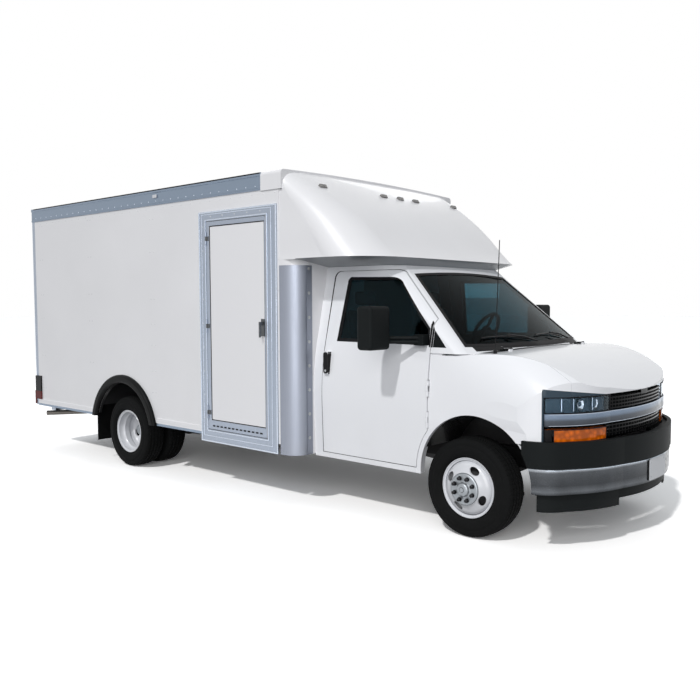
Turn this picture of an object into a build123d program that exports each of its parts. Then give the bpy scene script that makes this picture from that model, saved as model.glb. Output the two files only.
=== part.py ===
from build123d import *
import math
import os

os.makedirs("parts", exist_ok=True)

# A cutaway van chassis with a walk-in box body and a moulded nose cap over the cab.
# Every size is in millimetres. The shapes are drawn with x forward from the front axle,
# y to the left and z up from the ground. save() moves them so that the origin lies under
# the middle of the whole vehicle.

# ---------------------------------------------------------------- driving dimensions
WHEELBASE = 4039.0
GAP = 5.0               # shut line between a moving panel and its neighbour
SEAT = 0.3              # air between a closed panel and what it rests on
PIN_GAP = 0.3           # air round a hinge pin

# wheels and tyres
TYRE_R = 362.0
TYRE_W = 223.0
TREAD_W = 176.0
RIM_R = 203.0           # bead seat
RIM_FLANGE_R = 219.0
RIM_W = 184.0           # over the flanges
RIM_WALL = 9.0
DISC_T = 10.0
HUB_R = 82.0
LUG_CIRCLE_R = 82.5
LUG_R = 11.0
LUG_COUNT = 8
HAND_HOLE_R = 29.0
HAND_HOLE_CIRCLE_R = 138.0
HAND_HOLE_COUNT = 4
HAND_HOLE_TURN = 63.0
FRONT_WHEEL_Y = 843.0
FRONT_DISC_Y = 975.0    # outer face of the front wheel's disc
REAR_DISC_Y = 918.0     # joint face between the twin wheels
TWIN_PITCH = 264.0

# steering and axles
KINGPIN_Y = 775.0
BALL_RISE = 125.0       # ball joints above and below the axle line
AXLE_Z = TYRE_R
AXLE_TUBE_R = 52.0
FRONT_SPINDLE_Y = 850.0
REAR_SPINDLE_Y = 860.0

# ladder frame
RAIL_Y = 440.0          # outer face
RAIL_Z = (450.0, 600.0)
RAIL_FLANGE = 60.0
RAIL_WALL = 7.0
FRAME_X = (-5760.0, 800.0)

# box body
BOX_REAR = -5900.0
BOX_FRONT = -1490.0     # front face of the front wall
BOX_HALF = 1193.0
WALL = 30.0
WALL_FOOT = 515.0
CORNER_R = 150.0        # rounded front corner posts
POST_REAR = -1680.0
POST_Z = (430.0, 1995.0)
POST_WALL = 5.0
FLOOR_Z = (600.0, 660.0)
ROOF_RAIL_Z = (2625.0, 2762.0)
ROOF_RAIL_FRONT = -1890.0
ROOF_CROWN = 22.0
ROOF_T = 25.0
RAIL_PROUD = 6.0
SILL_RAIL_Z = (488.0, 560.0)

# rear wheel arch
ARCH_REAR_R = 505.0
FLARE_W = 85.0
FLARE_PROUD = 40.0
WHEEL_BOX_TOP = 880.0
WHEEL_BOX_Y = 615.0
WHEEL_BOX_HALF = 470.0
SHEET = 6.0

# side door of the box
SIDE_FRAME_X = (-2729.0, -1700.0)
SIDE_FRAME_Z = (430.0, 2500.0)
SIDE_LEAF_X = (-2622.0, -1836.0)
SIDE_LEAF_Z = (548.0, 2409.0)
SIDE_LEAF_T = 36.0
FRAME_PROUD = 9.0

# rear doors
REAR_OPENING_Y = 1090.0
REAR_OPENING_Z = (665.0, 2560.0)
REAR_LEAF_T = 34.0
REAR_FRAME_T = 60.0
STEP_BAR_Z = (400.0, 470.0)
TOW_HOLE_R = 13.0
TOW_HOLE_X = -5921.0

# cab
CAB_REAR = BOX_FRONT + SEAT
CAB_WALL = 70.0
DOOR_T = 45.0
WRAP_T = 20.0           # door skin where it wraps round the windscreen pillar
BELT_Z = 1345.0
ROOF_Z = 1985.0
ROCKER_Z = 417.0
DOOR_FRONT = -318.0
DOOR_REAR = -1400.0
DOOR_FOOT = 457.0
DOOR_TOP = 1950.0
APERTURE_LIP = 28.0
GLASS_T = 6.0
CAB_FLOOR_Z = 668.0
CAB_SHEET = 8.0
ROOF_SKIN = 30.0

# front wings and nose
ARCH_X = 70.0
ARCH_Z = 435.0
ARCH_R = 463.0
ARCH_LIP = 22.0
DOOR_ARC_R = 500.0
SKIN = 12.0
NOSE_BOTTOM = 741.0
LAMP_TOP = 1062.0
BAR_Z = (868.0, 950.0)
TURN_Z = (758.0, 846.0)
GRILLE_HALF = 470.0
LAMP_HALF = 930.0
HOOD_REAR = 120.0
HOOD_SIDE = 800.0

# front bumper
BUMPER_FRONT = 1015.0
CHROME_Z = (415.0, 587.0)
PAD_Z = (587.0, 768.0)
DAM_Z = (290.0, 415.0)
BUMPER_SIDE_REAR = 470.0

# hinges
HINGE_R = 6.0
HINGE_PIN_R = 3.0

PAD_PROUD = 10.0
UNDERRUN_REAR = BOX_REAR - 40.0
ORIGIN_X = (UNDERRUN_REAR + BUMPER_FRONT + PAD_PROUD) / 2.0


# ---------------------------------------------------------------- small makers
def block(x, y, z):
    """A box between low and high corners, each axis given as a (low, high) pair."""
    middle = Pos((x[0] + x[1]) / 2, (y[0] + y[1]) / 2, (z[0] + z[1]) / 2)
    return middle * Box(x[1] - x[0], y[1] - y[0], z[1] - z[0])


def on_xy(z):
    return lambda a, b: Vector(a, b, z)


def on_xz(y):
    return lambda a, b: Vector(a, y, b)


def on_yz(x):
    return lambda a, b: Vector(x, a, b)


def outline(rows, place):
    """A face from corner rows (a, b), or (mid a, mid b, a, b) where an arc leads to a corner."""
    edges = []
    start = place(*rows[0][-2:])
    last = start
    for row in list(rows[1:]) + [rows[0][-2:]]:
        corner = place(*row[-2:])
        if (corner - last).length < 1e-6:
            continue
        if len(row) == 4:
            edges.append(ThreePointArc(last, place(*row[:2]), corner))
        else:
            edges.append(Line(last, corner))
        last = corner
    return make_face(edges)


def along_x(rows, x):
    return extrude(outline(rows, on_yz(x[0])), amount=x[1] - x[0], dir=(1, 0, 0))


def along_y(rows, y):
    return extrude(outline(rows, on_xz(y[0])), amount=y[1] - y[0], dir=(0, 1, 0))


def along_z(rows, z):
    return extrude(outline(rows, on_xy(z[0])), amount=z[1] - z[0], dir=(0, 0, 1))


def rod(radius, start, end):
    """A round bar between two points."""
    run = Vector(*end) - Vector(*start)
    plane = Plane(origin=start, z_dir=run)
    return plane * Cylinder(radius, run.length, align=(Align.CENTER, Align.CENTER, Align.MIN))


def disc(radius, y, x=0.0, z=0.0):
    """A round bar across the vehicle, from y[0] to y[1]."""
    return rod(radius, (x, y[0], z), (x, y[1], z))


def other_side(shape):
    return mirror(shape, about=Plane.XZ)


def both(shape):
    return shape + other_side(shape)


def turned(rows, x, z):
    """Spin (y, r) rows round an axle that runs across the vehicle at x, z."""
    face = outline([(y, r) for y, r in rows], lambda a, b: Vector(0, a, b))
    return Pos(x, 0, z) * revolve(face, axis=Axis.Y)


nodes = {}


def save(name, shape):
    nodes[name] = Pos(-ORIGIN_X, 0, 0) * shape


# ---------------------------------------------------------------- wheels
def tyre(x, y):
    """A road tyre round the axle line, with its middle at y."""
    half = TYRE_W / 2
    tread = TREAD_W / 2
    seat = RIM_W / 2 - 14.0 - SEAT
    rows = [
        (-seat, RIM_R + SEAT), (seat, RIM_R + SEAT), (seat, RIM_FLANGE_R + 1.5), (half, RIM_R + 62.0),
        (half - 4.0, TYRE_R - 58.0), (tread, TYRE_R - 8.0), (tread * 0.55, TYRE_R),
        (-tread * 0.55, TYRE_R), (-tread, TYRE_R - 8.0), (4.0 - half, TYRE_R - 58.0),
        (-half, RIM_R + 62.0), (-seat, RIM_FLANGE_R + 1.5),
    ]
    rows = [(y + a, b) for a, b in rows]
    return turned(rows, x, AXLE_Z)


def rim_barrel(x, y):
    """The rim that the tyre sits on, flanges and drop centre, with its middle at y."""
    half = RIM_W / 2
    seat = half - 14.0
    rows = [
        (-half, RIM_FLANGE_R), (-seat, RIM_FLANGE_R - 4.0), (-seat, RIM_R), (-30.0, RIM_R - 4.0),
        (-20.0, RIM_R - 18.0), (20.0, RIM_R - 18.0), (30.0, RIM_R - 4.0), (seat, RIM_R),
        (seat, RIM_FLANGE_R - 4.0), (half, RIM_FLANGE_R), (half, RIM_R - 2.0),
        (34.0, RIM_R - RIM_WALL - 5.0), (24.0, RIM_R - RIM_WALL - 18.0),
        (-24.0, RIM_R - RIM_WALL - 18.0), (-34.0, RIM_R - RIM_WALL - 5.0), (-half, RIM_R - 2.0),
    ]
    rows = [(y + a, b) for a, b in rows]
    return turned(rows, x, AXLE_Z)


def wheel_disc(x, face_y, rim_y):
    """The pressed disc: flat middle at face_y, then a dished ring back to the rim at rim_y."""
    step = -1.0 if face_y > rim_y else 1.0
    reach = RIM_R - 8.0
    rows = [
        (face_y, 0.0), (face_y, HUB_R + 26.0), (face_y + step * 26.0, HUB_R + 52.0),
        (face_y + step * 34.0, reach - 12.0), (face_y + step * 62.0, reach),
        (face_y + step * 82.0, reach), (face_y + step * 82.0, reach - DISC_T),
        (face_y + step * (44.0), reach - 24.0), (face_y + step * (36.0), HUB_R + 42.0),
        (face_y + step * DISC_T, HUB_R + 20.0), (face_y + step * DISC_T, 0.0),
    ]
    shape = turned(rows, x, AXLE_Z)
    for index in range(HAND_HOLE_COUNT):
        angle = math.radians(HAND_HOLE_TURN + index * 360.0 / HAND_HOLE_COUNT)
        hole_x = x + HAND_HOLE_CIRCLE_R * math.cos(angle)
        hole_z = AXLE_Z + HAND_HOLE_CIRCLE_R * math.sin(angle)
        shape -= disc(HAND_HOLE_R, (face_y - 120.0, face_y + 120.0), hole_x, hole_z)
    return shape


def lugs(x, y):
    """The ring of wheel nuts between two y values."""
    ring = None
    for index in range(LUG_COUNT):
        angle = math.radians(index * 360.0 / LUG_COUNT)
        nut_x = x + LUG_CIRCLE_R * math.cos(angle)
        nut_z = AXLE_Z + LUG_CIRCLE_R * math.sin(angle)
        nut = disc(LUG_R, y, nut_x, nut_z)
        ring = nut if ring is None else ring + nut
    return ring


def front_wheel():
    """Left front rim with its disc, hub, brake rotor and nuts."""
    shape = rim_barrel(0, FRONT_WHEEL_Y)
    shape += wheel_disc(0, FRONT_DISC_Y, FRONT_WHEEL_Y)
    hub = [
        (FRONT_SPINDLE_Y + SEAT, 0.0), (FRONT_SPINDLE_Y + SEAT, 70.0),
        (FRONT_SPINDLE_Y + 16.0, 70.0), (FRONT_SPINDLE_Y + 16.0, 160.0),
        (FRONT_SPINDLE_Y + 44.0, 160.0), (FRONT_SPINDLE_Y + 44.0, 100.0),
        (FRONT_DISC_Y, 100.0), (FRONT_DISC_Y + 8.0, HUB_R + 14.0), (FRONT_DISC_Y + 8.0, 62.0),
        (FRONT_DISC_Y + 40.0, 54.0), (FRONT_DISC_Y + 46.0, 46.0), (FRONT_DISC_Y + 46.0, 0.0),
    ]
    shape += turned(hub, 0, AXLE_Z)
    shape += lugs(0, (FRONT_DISC_Y, FRONT_DISC_Y + 34.0))
    return shape


def rear_wheels():
    """Left pair of rear rims, joined at their discs, with the hub and nuts."""
    outer_y = REAR_DISC_Y + TWIN_PITCH / 2
    inner_y = REAR_DISC_Y - TWIN_PITCH / 2
    shape = rim_barrel(-WHEELBASE, outer_y) + rim_barrel(-WHEELBASE, inner_y)
    shape += wheel_disc(-WHEELBASE, REAR_DISC_Y, outer_y)
    shape += wheel_disc(-WHEELBASE, REAR_DISC_Y, inner_y)
    hub = [
        (REAR_SPINDLE_Y + SEAT, 0.0), (REAR_SPINDLE_Y + SEAT, 100.0),
        (REAR_DISC_Y + DISC_T + 6.0, 100.0), (REAR_DISC_Y + DISC_T + 6.0, 60.0),
        (REAR_DISC_Y + 110.0, 52.0), (REAR_DISC_Y + 110.0, 0.0),
    ]
    shape += turned(hub, -WHEELBASE, AXLE_Z)
    shape += lugs(-WHEELBASE, (REAR_DISC_Y, REAR_DISC_Y + DISC_T + 28.0))
    return shape


def knuckle():
    """Left steering knuckle: an upright between the ball joints, with its spindle and arm."""
    low = AXLE_Z - BALL_RISE
    high = AXLE_Z + BALL_RISE
    inner = KINGPIN_Y - 22.0
    upright = block((-28, 28), (inner, KINGPIN_Y + 22.0), (low + 14.0, high - 14.0))
    spindle = disc(46.0, (KINGPIN_Y, FRONT_SPINDLE_Y), 0, AXLE_Z)
    arm_rows = [(-150, 0), (-150, 26), (0, 44), (20, 44), (20, 0)]
    arm = along_z([(a, inner - 10.0 + b) for a, b in arm_rows], (low + 20.0, low + 48.0))
    return upright + spindle + arm


# ---------------------------------------------------------------- running gear
def c_rail():
    """Left frame rail, a channel with its web outside."""
    inner = RAIL_Y - RAIL_FLANGE
    bar = block(FRAME_X, (inner, RAIL_Y), RAIL_Z)
    hollow_z = (RAIL_Z[0] + RAIL_WALL, RAIL_Z[1] - RAIL_WALL)
    return bar - block((FRAME_X[0] - 1, FRAME_X[1] + 1), (inner - 1, RAIL_Y - RAIL_WALL), hollow_z)


# columns: x of the middle, half length, low z, high z
CROSS_MEMBERS = [
    (770.0, 30.0, 460.0, 590.0),
    (-1450.0, 30.0, 525.0, 590.0),
    (-2300.0, 30.0, 525.0, 590.0),
    (-3250.0, 30.0, 525.0, 590.0),
    (-4700.0, 30.0, 480.0, 590.0),
    (-5720.0, 30.0, 460.0, 590.0),
]


def chassis_frame():
    shape = both(c_rail())
    for x, half, low, high in CROSS_MEMBERS:
        web = RAIL_Y - RAIL_WALL
        shape += block((x - half, x + half), (-web, web), (low, high))
    return shape


def front_suspension():
    """The cross member under the engine, with an upper and a lower arm each side."""
    low = AXLE_Z - BALL_RISE
    high = AXLE_Z + BALL_RISE
    beam = block((-70, 70), (-RAIL_Y, RAIL_Y), (385.0, RAIL_Z[0]))
    legs = block((-70, 70), (330, RAIL_Y), (low - 14.0, 385.0))
    rows = [(-150, RAIL_Y - 60), (-150, RAIL_Y + 40), (-32, KINGPIN_Y - 60), (-26, KINGPIN_Y + 20)]
    rows += [(26, KINGPIN_Y + 20), (32, KINGPIN_Y - 60), (150, RAIL_Y + 40), (150, RAIL_Y - 60)]
    lower = along_z(rows, (low - 14.0, low + 14.0 - SEAT))
    narrow = [(a * 0.7, b) for a, b in rows]
    tower = block((-70, 70), (RAIL_Y, RAIL_Y + 30), (high - 40.0, high + 14.0))
    upper_rows = [(a, max(b, RAIL_Y)) for a, b in narrow]
    upper = along_z(upper_rows, (high - 14.0 + SEAT, high + 10.0))
    spring = rod(52.0, (0, RAIL_Y + 92, low), (0, RAIL_Y + 92, high - 6.0))
    side = legs + lower + upper + tower + spring
    return beam + both(side)


def leaf_spring():
    """Left rear spring: a shallow bow below the axle, with hangers up to the frame."""
    reach = 690.0
    low = AXLE_Z - AXLE_TUBE_R - 42.0
    eye_z = 420.0
    bow = [
        (-reach, eye_z), (0, low, reach, eye_z), (reach, eye_z - 14),
        (0, low - 14, -reach, eye_z - 14),
    ]
    main = along_y([tuple(v - WHEELBASE if i % 2 == 0 else v for i, v in enumerate(r)) for r in bow],
                   (RAIL_Y - 62, RAIL_Y + 2))
    pack = block((-WHEELBASE - 260, -WHEELBASE + 260), (RAIL_Y - 62, RAIL_Y + 2), (low - 4.0, low + 26.0))
    seat = block((-WHEELBASE - 70, -WHEELBASE + 70), (RAIL_Y - 66, RAIL_Y + 6), (low - 20.0, AXLE_Z))
    shape = main + pack + seat
    for end in (-reach + 10, reach - 10):
        x = -WHEELBASE + end
        shape += block((x - 22, x + 22), (RAIL_Y - 62, RAIL_Y + 2), (eye_z - 20, RAIL_Z[0]))
    return shape


def rear_axle():
    tube = disc(AXLE_TUBE_R, (-REAR_SPINDLE_Y, REAR_SPINDLE_Y), -WHEELBASE, AXLE_Z)
    pumpkin = Pos(-WHEELBASE, 0, AXLE_Z) * Sphere(150.0)
    nose = rod(62.0, (-WHEELBASE, 0, AXLE_Z), (-WHEELBASE + 260, 0, AXLE_Z + 20))
    shaft = rod(38.0, (-WHEELBASE + 250, 0, AXLE_Z + 20), (-1341.3, 0, 452))
    return tube + pumpkin + nose + shaft + both(leaf_spring())


def engine():
    """The engine as one plain block, with the gearbox behind it and the radiator in front."""
    motor = block((-560, 380), (-250, 250), (RAIL_Z[0] + SEAT, 1010))
    gearbox_rows = [(-560, 330), (-560, 640), (-900, 600), (-1340, 520), (-1340, 385), (-900, 340)]
    gearbox = along_y(gearbox_rows, (-150, 150))
    radiator = block((742, 792), (-360, 360), (590 + SEAT, 985))
    return motor + gearbox + radiator


def fuel_tank():
    """Tank hung outside the left rail, between the axles."""
    tank = block((-3250, -2400), (RAIL_Y, RAIL_Y + 330), (290, 570))
    return fillet(tank.edges().filter_by(Axis.X), 35.0)


# columns: x, y, z of each bend of the tail pipe, front to rear
EXHAUST_ROUTE = [
    (-1150.0, -300.0, 370.0),
    (-1500.0, -520.0, 370.0),
    (-3300.0, -560.0, 400.0),
    (-3750.0, -560.0, 500.0),
    (-4330.0, -560.0, 500.0),
    (-4800.0, -600.0, 400.0),
    (-5500.0, -700.0, 390.0),
    (-5890.0, -1080.0, 375.0),
]
EXHAUST_R = 28.0


def exhaust():
    """Right-hand pipe over the axle, with its silencer and open tip."""
    shape = rod(80.0, (-2950, -553, 394), (-2250, -537, 383))
    for start, end in zip(EXHAUST_ROUTE, EXHAUST_ROUTE[1:]):
        shape += rod(EXHAUST_R, start, end)
        shape += Pos(*start) * Sphere(EXHAUST_R)
    bore_start = EXHAUST_ROUTE[-2]
    tip = Vector(*EXHAUST_ROUTE[-1])
    run = (tip - Vector(*bore_start)).normalized()
    shape -= rod(EXHAUST_R - 3.0, tuple(tip - run * 120), tuple(tip + run * 5))
    for x, y in ((-1560.0, -521.0), (-3500.0, -560.0), (-4800.0, -600.0), (-5500.0, -700.0)):
        shape += block((x - 8, x + 8), (y, -RAIL_Y + 10), (RAIL_Z[0] - 8, RAIL_Z[0]))
        shape += block((x - 8, x + 8), (y - 8, y + 8), (390, RAIL_Z[0]))
    return shape


# ---------------------------------------------------------------- box body
WALL_REAR = BOX_REAR + REAR_FRAME_T
ROOF_EDGE_Z = ROOF_RAIL_Z[1]
DOOR_LINING = 25.0
LINED_X = (SIDE_LEAF_X[0] - GAP - DOOR_LINING, SIDE_LEAF_X[1] + GAP + DOOR_LINING)
LINED_TOP = SIDE_LEAF_Z[1] + GAP + DOOR_LINING


def box_wall():
    """Left side wall with its wheel arch."""
    inner = BOX_HALF - WALL
    wall = block((WALL_REAR, POST_REAR), (inner, BOX_HALF), (WALL_FOOT, ROOF_RAIL_Z[1] - 25))
    return wall - disc(ARCH_REAR_R, (inner - 1, BOX_HALF + 1), -WHEELBASE, AXLE_Z)


def box_wall_right():
    opening = block(LINED_X, (-BOX_HALF - 1, WALL - BOX_HALF + 1), (WALL_FOOT - 1, LINED_TOP))
    return other_side(box_wall()) - opening


STEP_INNER_Y = 880.0
FLOOR_BEARERS = 9
BEARER_W = 60.0


def wheel_box_outer(skin):
    half = WHEEL_BOX_HALF - skin
    y = (WHEEL_BOX_Y + skin, BOX_HALF - WALL)
    return block((-WHEELBASE - half, -WHEELBASE + half), y, (FLOOR_Z[0] - 1, WHEEL_BOX_TOP - skin))


def box_floor():
    """Plank floor on cross bearers, with a sheet box over each pair of rear wheels."""
    half = BOX_HALF - WALL
    middle = (FLOOR_Z[0] + FLOOR_Z[1]) / 2
    x = (WALL_REAR, BOX_FRONT - 25)
    shape = block(x, (-half, half), (middle, FLOOR_Z[1]))
    pitch = (x[1] - x[0] - BEARER_W) / (FLOOR_BEARERS - 1)
    for index in range(FLOOR_BEARERS):
        low = x[0] + index * pitch
        shape += block((low, low + BEARER_W), (-half, half), (FLOOR_Z[0], middle))
    shape -= both(wheel_box_outer(0.0))
    corner = block((POST_REAR, BOX_FRONT), (BOX_FRONT - POST_REAR + 853, BOX_HALF), FLOOR_Z)
    shape -= both(corner)
    box = wheel_box_outer(0.0) - wheel_box_outer(SHEET)
    box = box - block((-WHEELBASE - 600, -WHEELBASE + 600), (0, BOX_HALF), (0, FLOOR_Z[0]))
    shape += both(box)
    for joint in LINED_X:
        shape -= block((joint, joint + SEAT), (-BOX_HALF, BOX_HALF), (FLOOR_Z[0] - 1, FLOOR_Z[1] + 1))
    return shape - step_well()


def step_well():
    return block(LINED_X, (-BOX_HALF, -STEP_INNER_Y), (FLOOR_Z[0] - 1, FLOOR_Z[1] + 1))


def box_roof():
    edge = BOX_HALF - 0.5
    inner = BOX_HALF - WALL
    rows = [
        (-edge, ROOF_EDGE_Z - 25), (edge, ROOF_EDGE_Z - 25), (edge, ROOF_EDGE_Z),
        (0, ROOF_EDGE_Z + ROOF_CROWN, -edge, ROOF_EDGE_Z),
    ]
    shape = along_x(rows, (BOX_REAR, POST_REAR))
    under = [
        (-inner + 40, ROOF_EDGE_Z - 26), (inner - 40, ROOF_EDGE_Z - 26),
        (0, ROOF_EDGE_Z + ROOF_CROWN - ROOF_T, -inner + 40, ROOF_EDGE_Z - 26),
    ]
    return shape - along_x(under, (WALL_REAR, POST_REAR + 1))


def box_rails():
    """Aluminium roof rails and sill rails along both sides."""
    out = BOX_HALF
    low, high = ROOF_RAIL_Z
    rows = [
        (out, low), (out + 8, low), (out + 8, low + 14), (out + 4, low + 18), (out + 4, high - 22),
        (out + 10, high - 18), (out + 10, high + 9), (out - 62, high + 11), (out - 62, high + 6),
        (out, high + 3),
    ]
    top = along_x(rows, (BOX_REAR, ROOF_RAIL_FRONT))
    shape = both(top)
    foot = [(out - 45, SILL_RAIL_Z[0]), (out + 7, SILL_RAIL_Z[0]), (out + 7, SILL_RAIL_Z[1])]
    foot += [(out, SILL_RAIL_Z[1]), (out, SILL_RAIL_Z[0] + 5), (out - 45, SILL_RAIL_Z[0] + 5)]
    flare_reach = ARCH_REAR_R + FLARE_W
    rear_part = along_x(foot, (WALL_REAR, -WHEELBASE - flare_reach))
    left_front = along_x(foot, (-WHEELBASE + flare_reach, POST_REAR))
    right_front = other_side(along_x(foot, (-WHEELBASE + flare_reach, SIDE_FRAME_X[0])))
    return shape + both(rear_part) + left_front + right_front


def corner_skin(z):
    """Rounded skin of the left front corner of the box, between two heights."""
    cx = BOX_FRONT - CORNER_R
    cy = BOX_HALF - CORNER_R
    part = math.cos(math.radians(45))
    inner = CORNER_R - POST_WALL
    rows = [
        (POST_REAR, BOX_HALF), (cx, BOX_HALF),
        (cx + CORNER_R * part, cy + CORNER_R * part, BOX_FRONT, cy),
        (BOX_FRONT - POST_WALL, cy), (cx + inner * part, cy + inner * part, cx, BOX_HALF - POST_WALL),
        (POST_REAR, BOX_HALF - POST_WALL),
    ]
    return along_z(rows, z)


def corner_posts():
    """Rounded aluminium posts at the front corners of the box."""
    return both(corner_skin(POST_Z))


def front_wall():
    """Front wall of the box, open in the middle to the cab."""
    half = BOX_HALF - CORNER_R
    wall = block((BOX_FRONT - 25, BOX_FRONT), (-half, half), (POST_Z[0], LIP_Z))
    shape = wall - block((BOX_FRONT - 26, BOX_FRONT + 1), (-350, 350), (FLOOR_Z[1], 1900))
    for sign in (-1, 1):
        y = tuple(sorted((sign * RAIL_Y, sign * (RAIL_Y - RAIL_FLANGE))))
        shape -= block((BOX_FRONT - 26, BOX_FRONT + 1), y, (RAIL_Z[0] - 1, RAIL_Z[1] + 1))
    shape -= block((BOX_FRONT - 26, BOX_FRONT + 1), (-379, 379), (0, FLOOR_Z[0]))
    return shape


# ---------------------------------------------------------------- nose cap
LIP_Z = 2045.0
CAP_T = 6.0
# columns: z, half width, x where the side ends, corner middle x and y, x and y where the
# front begins, x of the front on the centre line
CAP_LEVELS = [
    (2045.0, 1193.0, -1180.0, -860.0, 1095.0, -715.0, 860.0, -690.0),
    (2200.0, 1192.0, -1290.0, -1010.0, 1095.0, -890.0, 870.0, -870.0),
    (2400.0, 1190.0, -1440.0, -1205.0, 1100.0, -1100.0, 890.0, -1075.0),
    (2570.0, 1187.0, -1580.0, -1405.0, 1105.0, -1330.0, 905.0, -1290.0),
    (2700.0, 1175.0, -1650.0, -1575.0, 1095.0, -1525.0, 915.0, -1490.0),
    (2775.0, 1135.0, -1672.0, -1662.0, 1050.0, -1650.0, 900.0, -1630.0),
]


def cap_outline(level, inset, rear):
    z, half, side_x, mid_x, mid_y, corner_x, corner_y, front_x = level
    half -= inset
    mid_x -= inset
    mid_y -= inset
    corner_x -= inset
    corner_y -= inset
    front_x -= inset
    rows = [
        (rear, -half), (side_x, -half), (mid_x, -mid_y, corner_x, -corner_y),
        (front_x, 0, corner_x, corner_y), (mid_x, mid_y, side_x, half), (rear, half),
    ]
    return outline(rows, on_xy(z))


def cap_form(inset, rear):
    faces = []
    for index, level in enumerate(CAP_LEVELS):
        lowered = level
        if index == len(CAP_LEVELS) - 1:
            lowered = (level[0] - inset,) + level[1:]
        faces.append(cap_outline(lowered, inset, rear))
    return loft(faces)


def front_cap():
    """Moulded cap over the cab: hollow, open to the box, with a sloping soffit."""
    shell = cap_form(0.0, POST_REAR) - cap_form(CAP_T, POST_REAR - 1)
    floor_low = ROOF_Z + 1.0
    roof_rows = greenhouse_rows(ROOF_Z, 2.0, BOX_FRONT)
    low_face = outline(roof_rows, on_xy(floor_low))
    high_face = cap_outline(CAP_LEVELS[0], 0.0, BOX_FRONT)
    soffit = loft([low_face, high_face], ruled=True)
    neck = corner_skin((POST_Z[1], LIP_Z))
    cx = BOX_FRONT - CORNER_R
    cy = BOX_HALF - CORNER_R
    web = block((cx, BOX_FRONT), (cy, BOX_HALF), (LIP_Z - CAP_T, LIP_Z))
    web -= Pos(cx, cy, LIP_Z - CAP_T / 2) * Cylinder(CORNER_R - 1, 4 * CAP_T)
    web += block((BOX_FRONT - POST_WALL, BOX_FRONT + 2), (cy, cy + 9), (POST_Z[1], LIP_Z))
    out = BOX_HALF + 9
    top = ROOF_EDGE_Z + 14
    band_rows = [
        (-out, ROOF_RAIL_Z[0] - 8), (out, ROOF_RAIL_Z[0] - 8), (out, top - 40),
        (out - 8, top - 12, out - 36, top), (0, top + ROOF_CROWN, 36 - out, top),
        (8 - out, top - 12, -out, top - 40),
    ]
    band = along_x(band_rows, (ROOF_RAIL_FRONT, POST_REAR + 40))
    band -= cap_form(CAP_T, POST_REAR - 1)
    hollow_rows = [
        (-BOX_HALF, 0), (BOX_HALF, 0), (BOX_HALF, ROOF_EDGE_Z),
        (0, ROOF_EDGE_Z + ROOF_CROWN, -BOX_HALF, ROOF_EDGE_Z),
    ]
    band -= along_x(hollow_rows, (ROOF_RAIL_FRONT - 1, POST_REAR))
    return shell + soffit + both(neck + web) + band


# ---------------------------------------------------------------- box openings
def ring(x, z, inner_x, inner_z, y):
    return block(x, y, z) - block(inner_x, (y[0] - 1, y[1] + 1), inner_z)


def side_door_frame():
    """Aluminium frame, lining, stops and step of the side door."""
    face = -(BOX_HALF + FRAME_PROUD)
    leaf_x = (SIDE_LEAF_X[0] - GAP, SIDE_LEAF_X[1] + GAP)
    leaf_z = (SIDE_LEAF_Z[0] - GAP, SIDE_LEAF_Z[1] + GAP)
    plate = ring(SIDE_FRAME_X, SIDE_FRAME_Z, leaf_x, leaf_z, (face, -BOX_HALF))
    stop_y = face + SIDE_LEAF_T + SEAT
    lining = ring(LINED_X, (WALL_FOOT, LINED_TOP), leaf_x, leaf_z, (-BOX_HALF, stop_y + 20))
    stop_x = (leaf_x[0] + 25, leaf_x[1] - 25)
    stop_z = (leaf_z[0] + 12, leaf_z[1] - 25)
    stop = ring(LINED_X, (WALL_FOOT, LINED_TOP), stop_x, stop_z, (stop_y, stop_y + 20))
    tread = block(LINED_X, (stop_y + 20, -STEP_INNER_Y), (WALL_FOOT - 15, SIDE_LEAF_Z[0] - GAP))
    riser = block(LINED_X, (-STEP_INNER_Y - SHEET, -STEP_INNER_Y), (WALL_FOOT, FLOOR_Z[1]))
    shape = plate + lining + stop + tread + riser
    for x in SIDE_HINGE_FRAME:
        shape += x
    return shape


def vertical_hinge(axis, heights, ear_toward, leaf_toward):
    """Barrels on an upright axis: (fixed ears with the pin, leaf barrels) for each height."""
    fixed = []
    leaf = []
    for z in heights:
        low = rod(HINGE_R, (*axis, z - 60), (*axis, z - 20))
        high = rod(HINGE_R, (*axis, z + 20), (*axis, z + 60))
        pin = rod(HINGE_PIN_R, (*axis, z - 21), (*axis, z + 21))
        barrel = rod(HINGE_R, (*axis, z - 20 + SEAT), (*axis, z + 20 - SEAT))
        barrel -= rod(HINGE_PIN_R + PIN_GAP, (*axis, z - 22), (*axis, z + 22))
        ear_x = tuple(sorted((axis[0], axis[0] + ear_toward[0])))
        ear_y = tuple(sorted((axis[1] - 0.0, axis[1] + ear_toward[1])))
        leaf_x = tuple(sorted((axis[0], axis[0] + leaf_toward[0])))
        leaf_y = tuple(sorted((axis[1] - 0.0, axis[1] + leaf_toward[1])))
        ears = block(ear_x, ear_y, (z - 60, z - 20)) + block(ear_x, ear_y, (z + 20, z + 60))
        ears -= rod(HINGE_PIN_R, (*axis, z - 61), (*axis, z + 61))
        plate = block(leaf_x, leaf_y, (z - 20 + SEAT, z + 20 - SEAT))
        plate -= rod(HINGE_PIN_R + PIN_GAP, (*axis, z - 22), (*axis, z + 22))
        fixed.append(low + high + pin + ears)
        leaf.append(barrel + plate)
    return fixed, leaf


SIDE_HINGE_AXIS = (SIDE_LEAF_X[0] - GAP / 2, -(BOX_HALF + FRAME_PROUD + HINGE_R + 1.0))
SIDE_HINGE_Z = (700.0, 1480.0, 2260.0)
SIDE_HINGE_FRAME, SIDE_HINGE_LEAF = vertical_hinge(
    SIDE_HINGE_AXIS, SIDE_HINGE_Z, (-40.0, HINGE_R + 1.0), (40.0, HINGE_R + 1.0))


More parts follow.
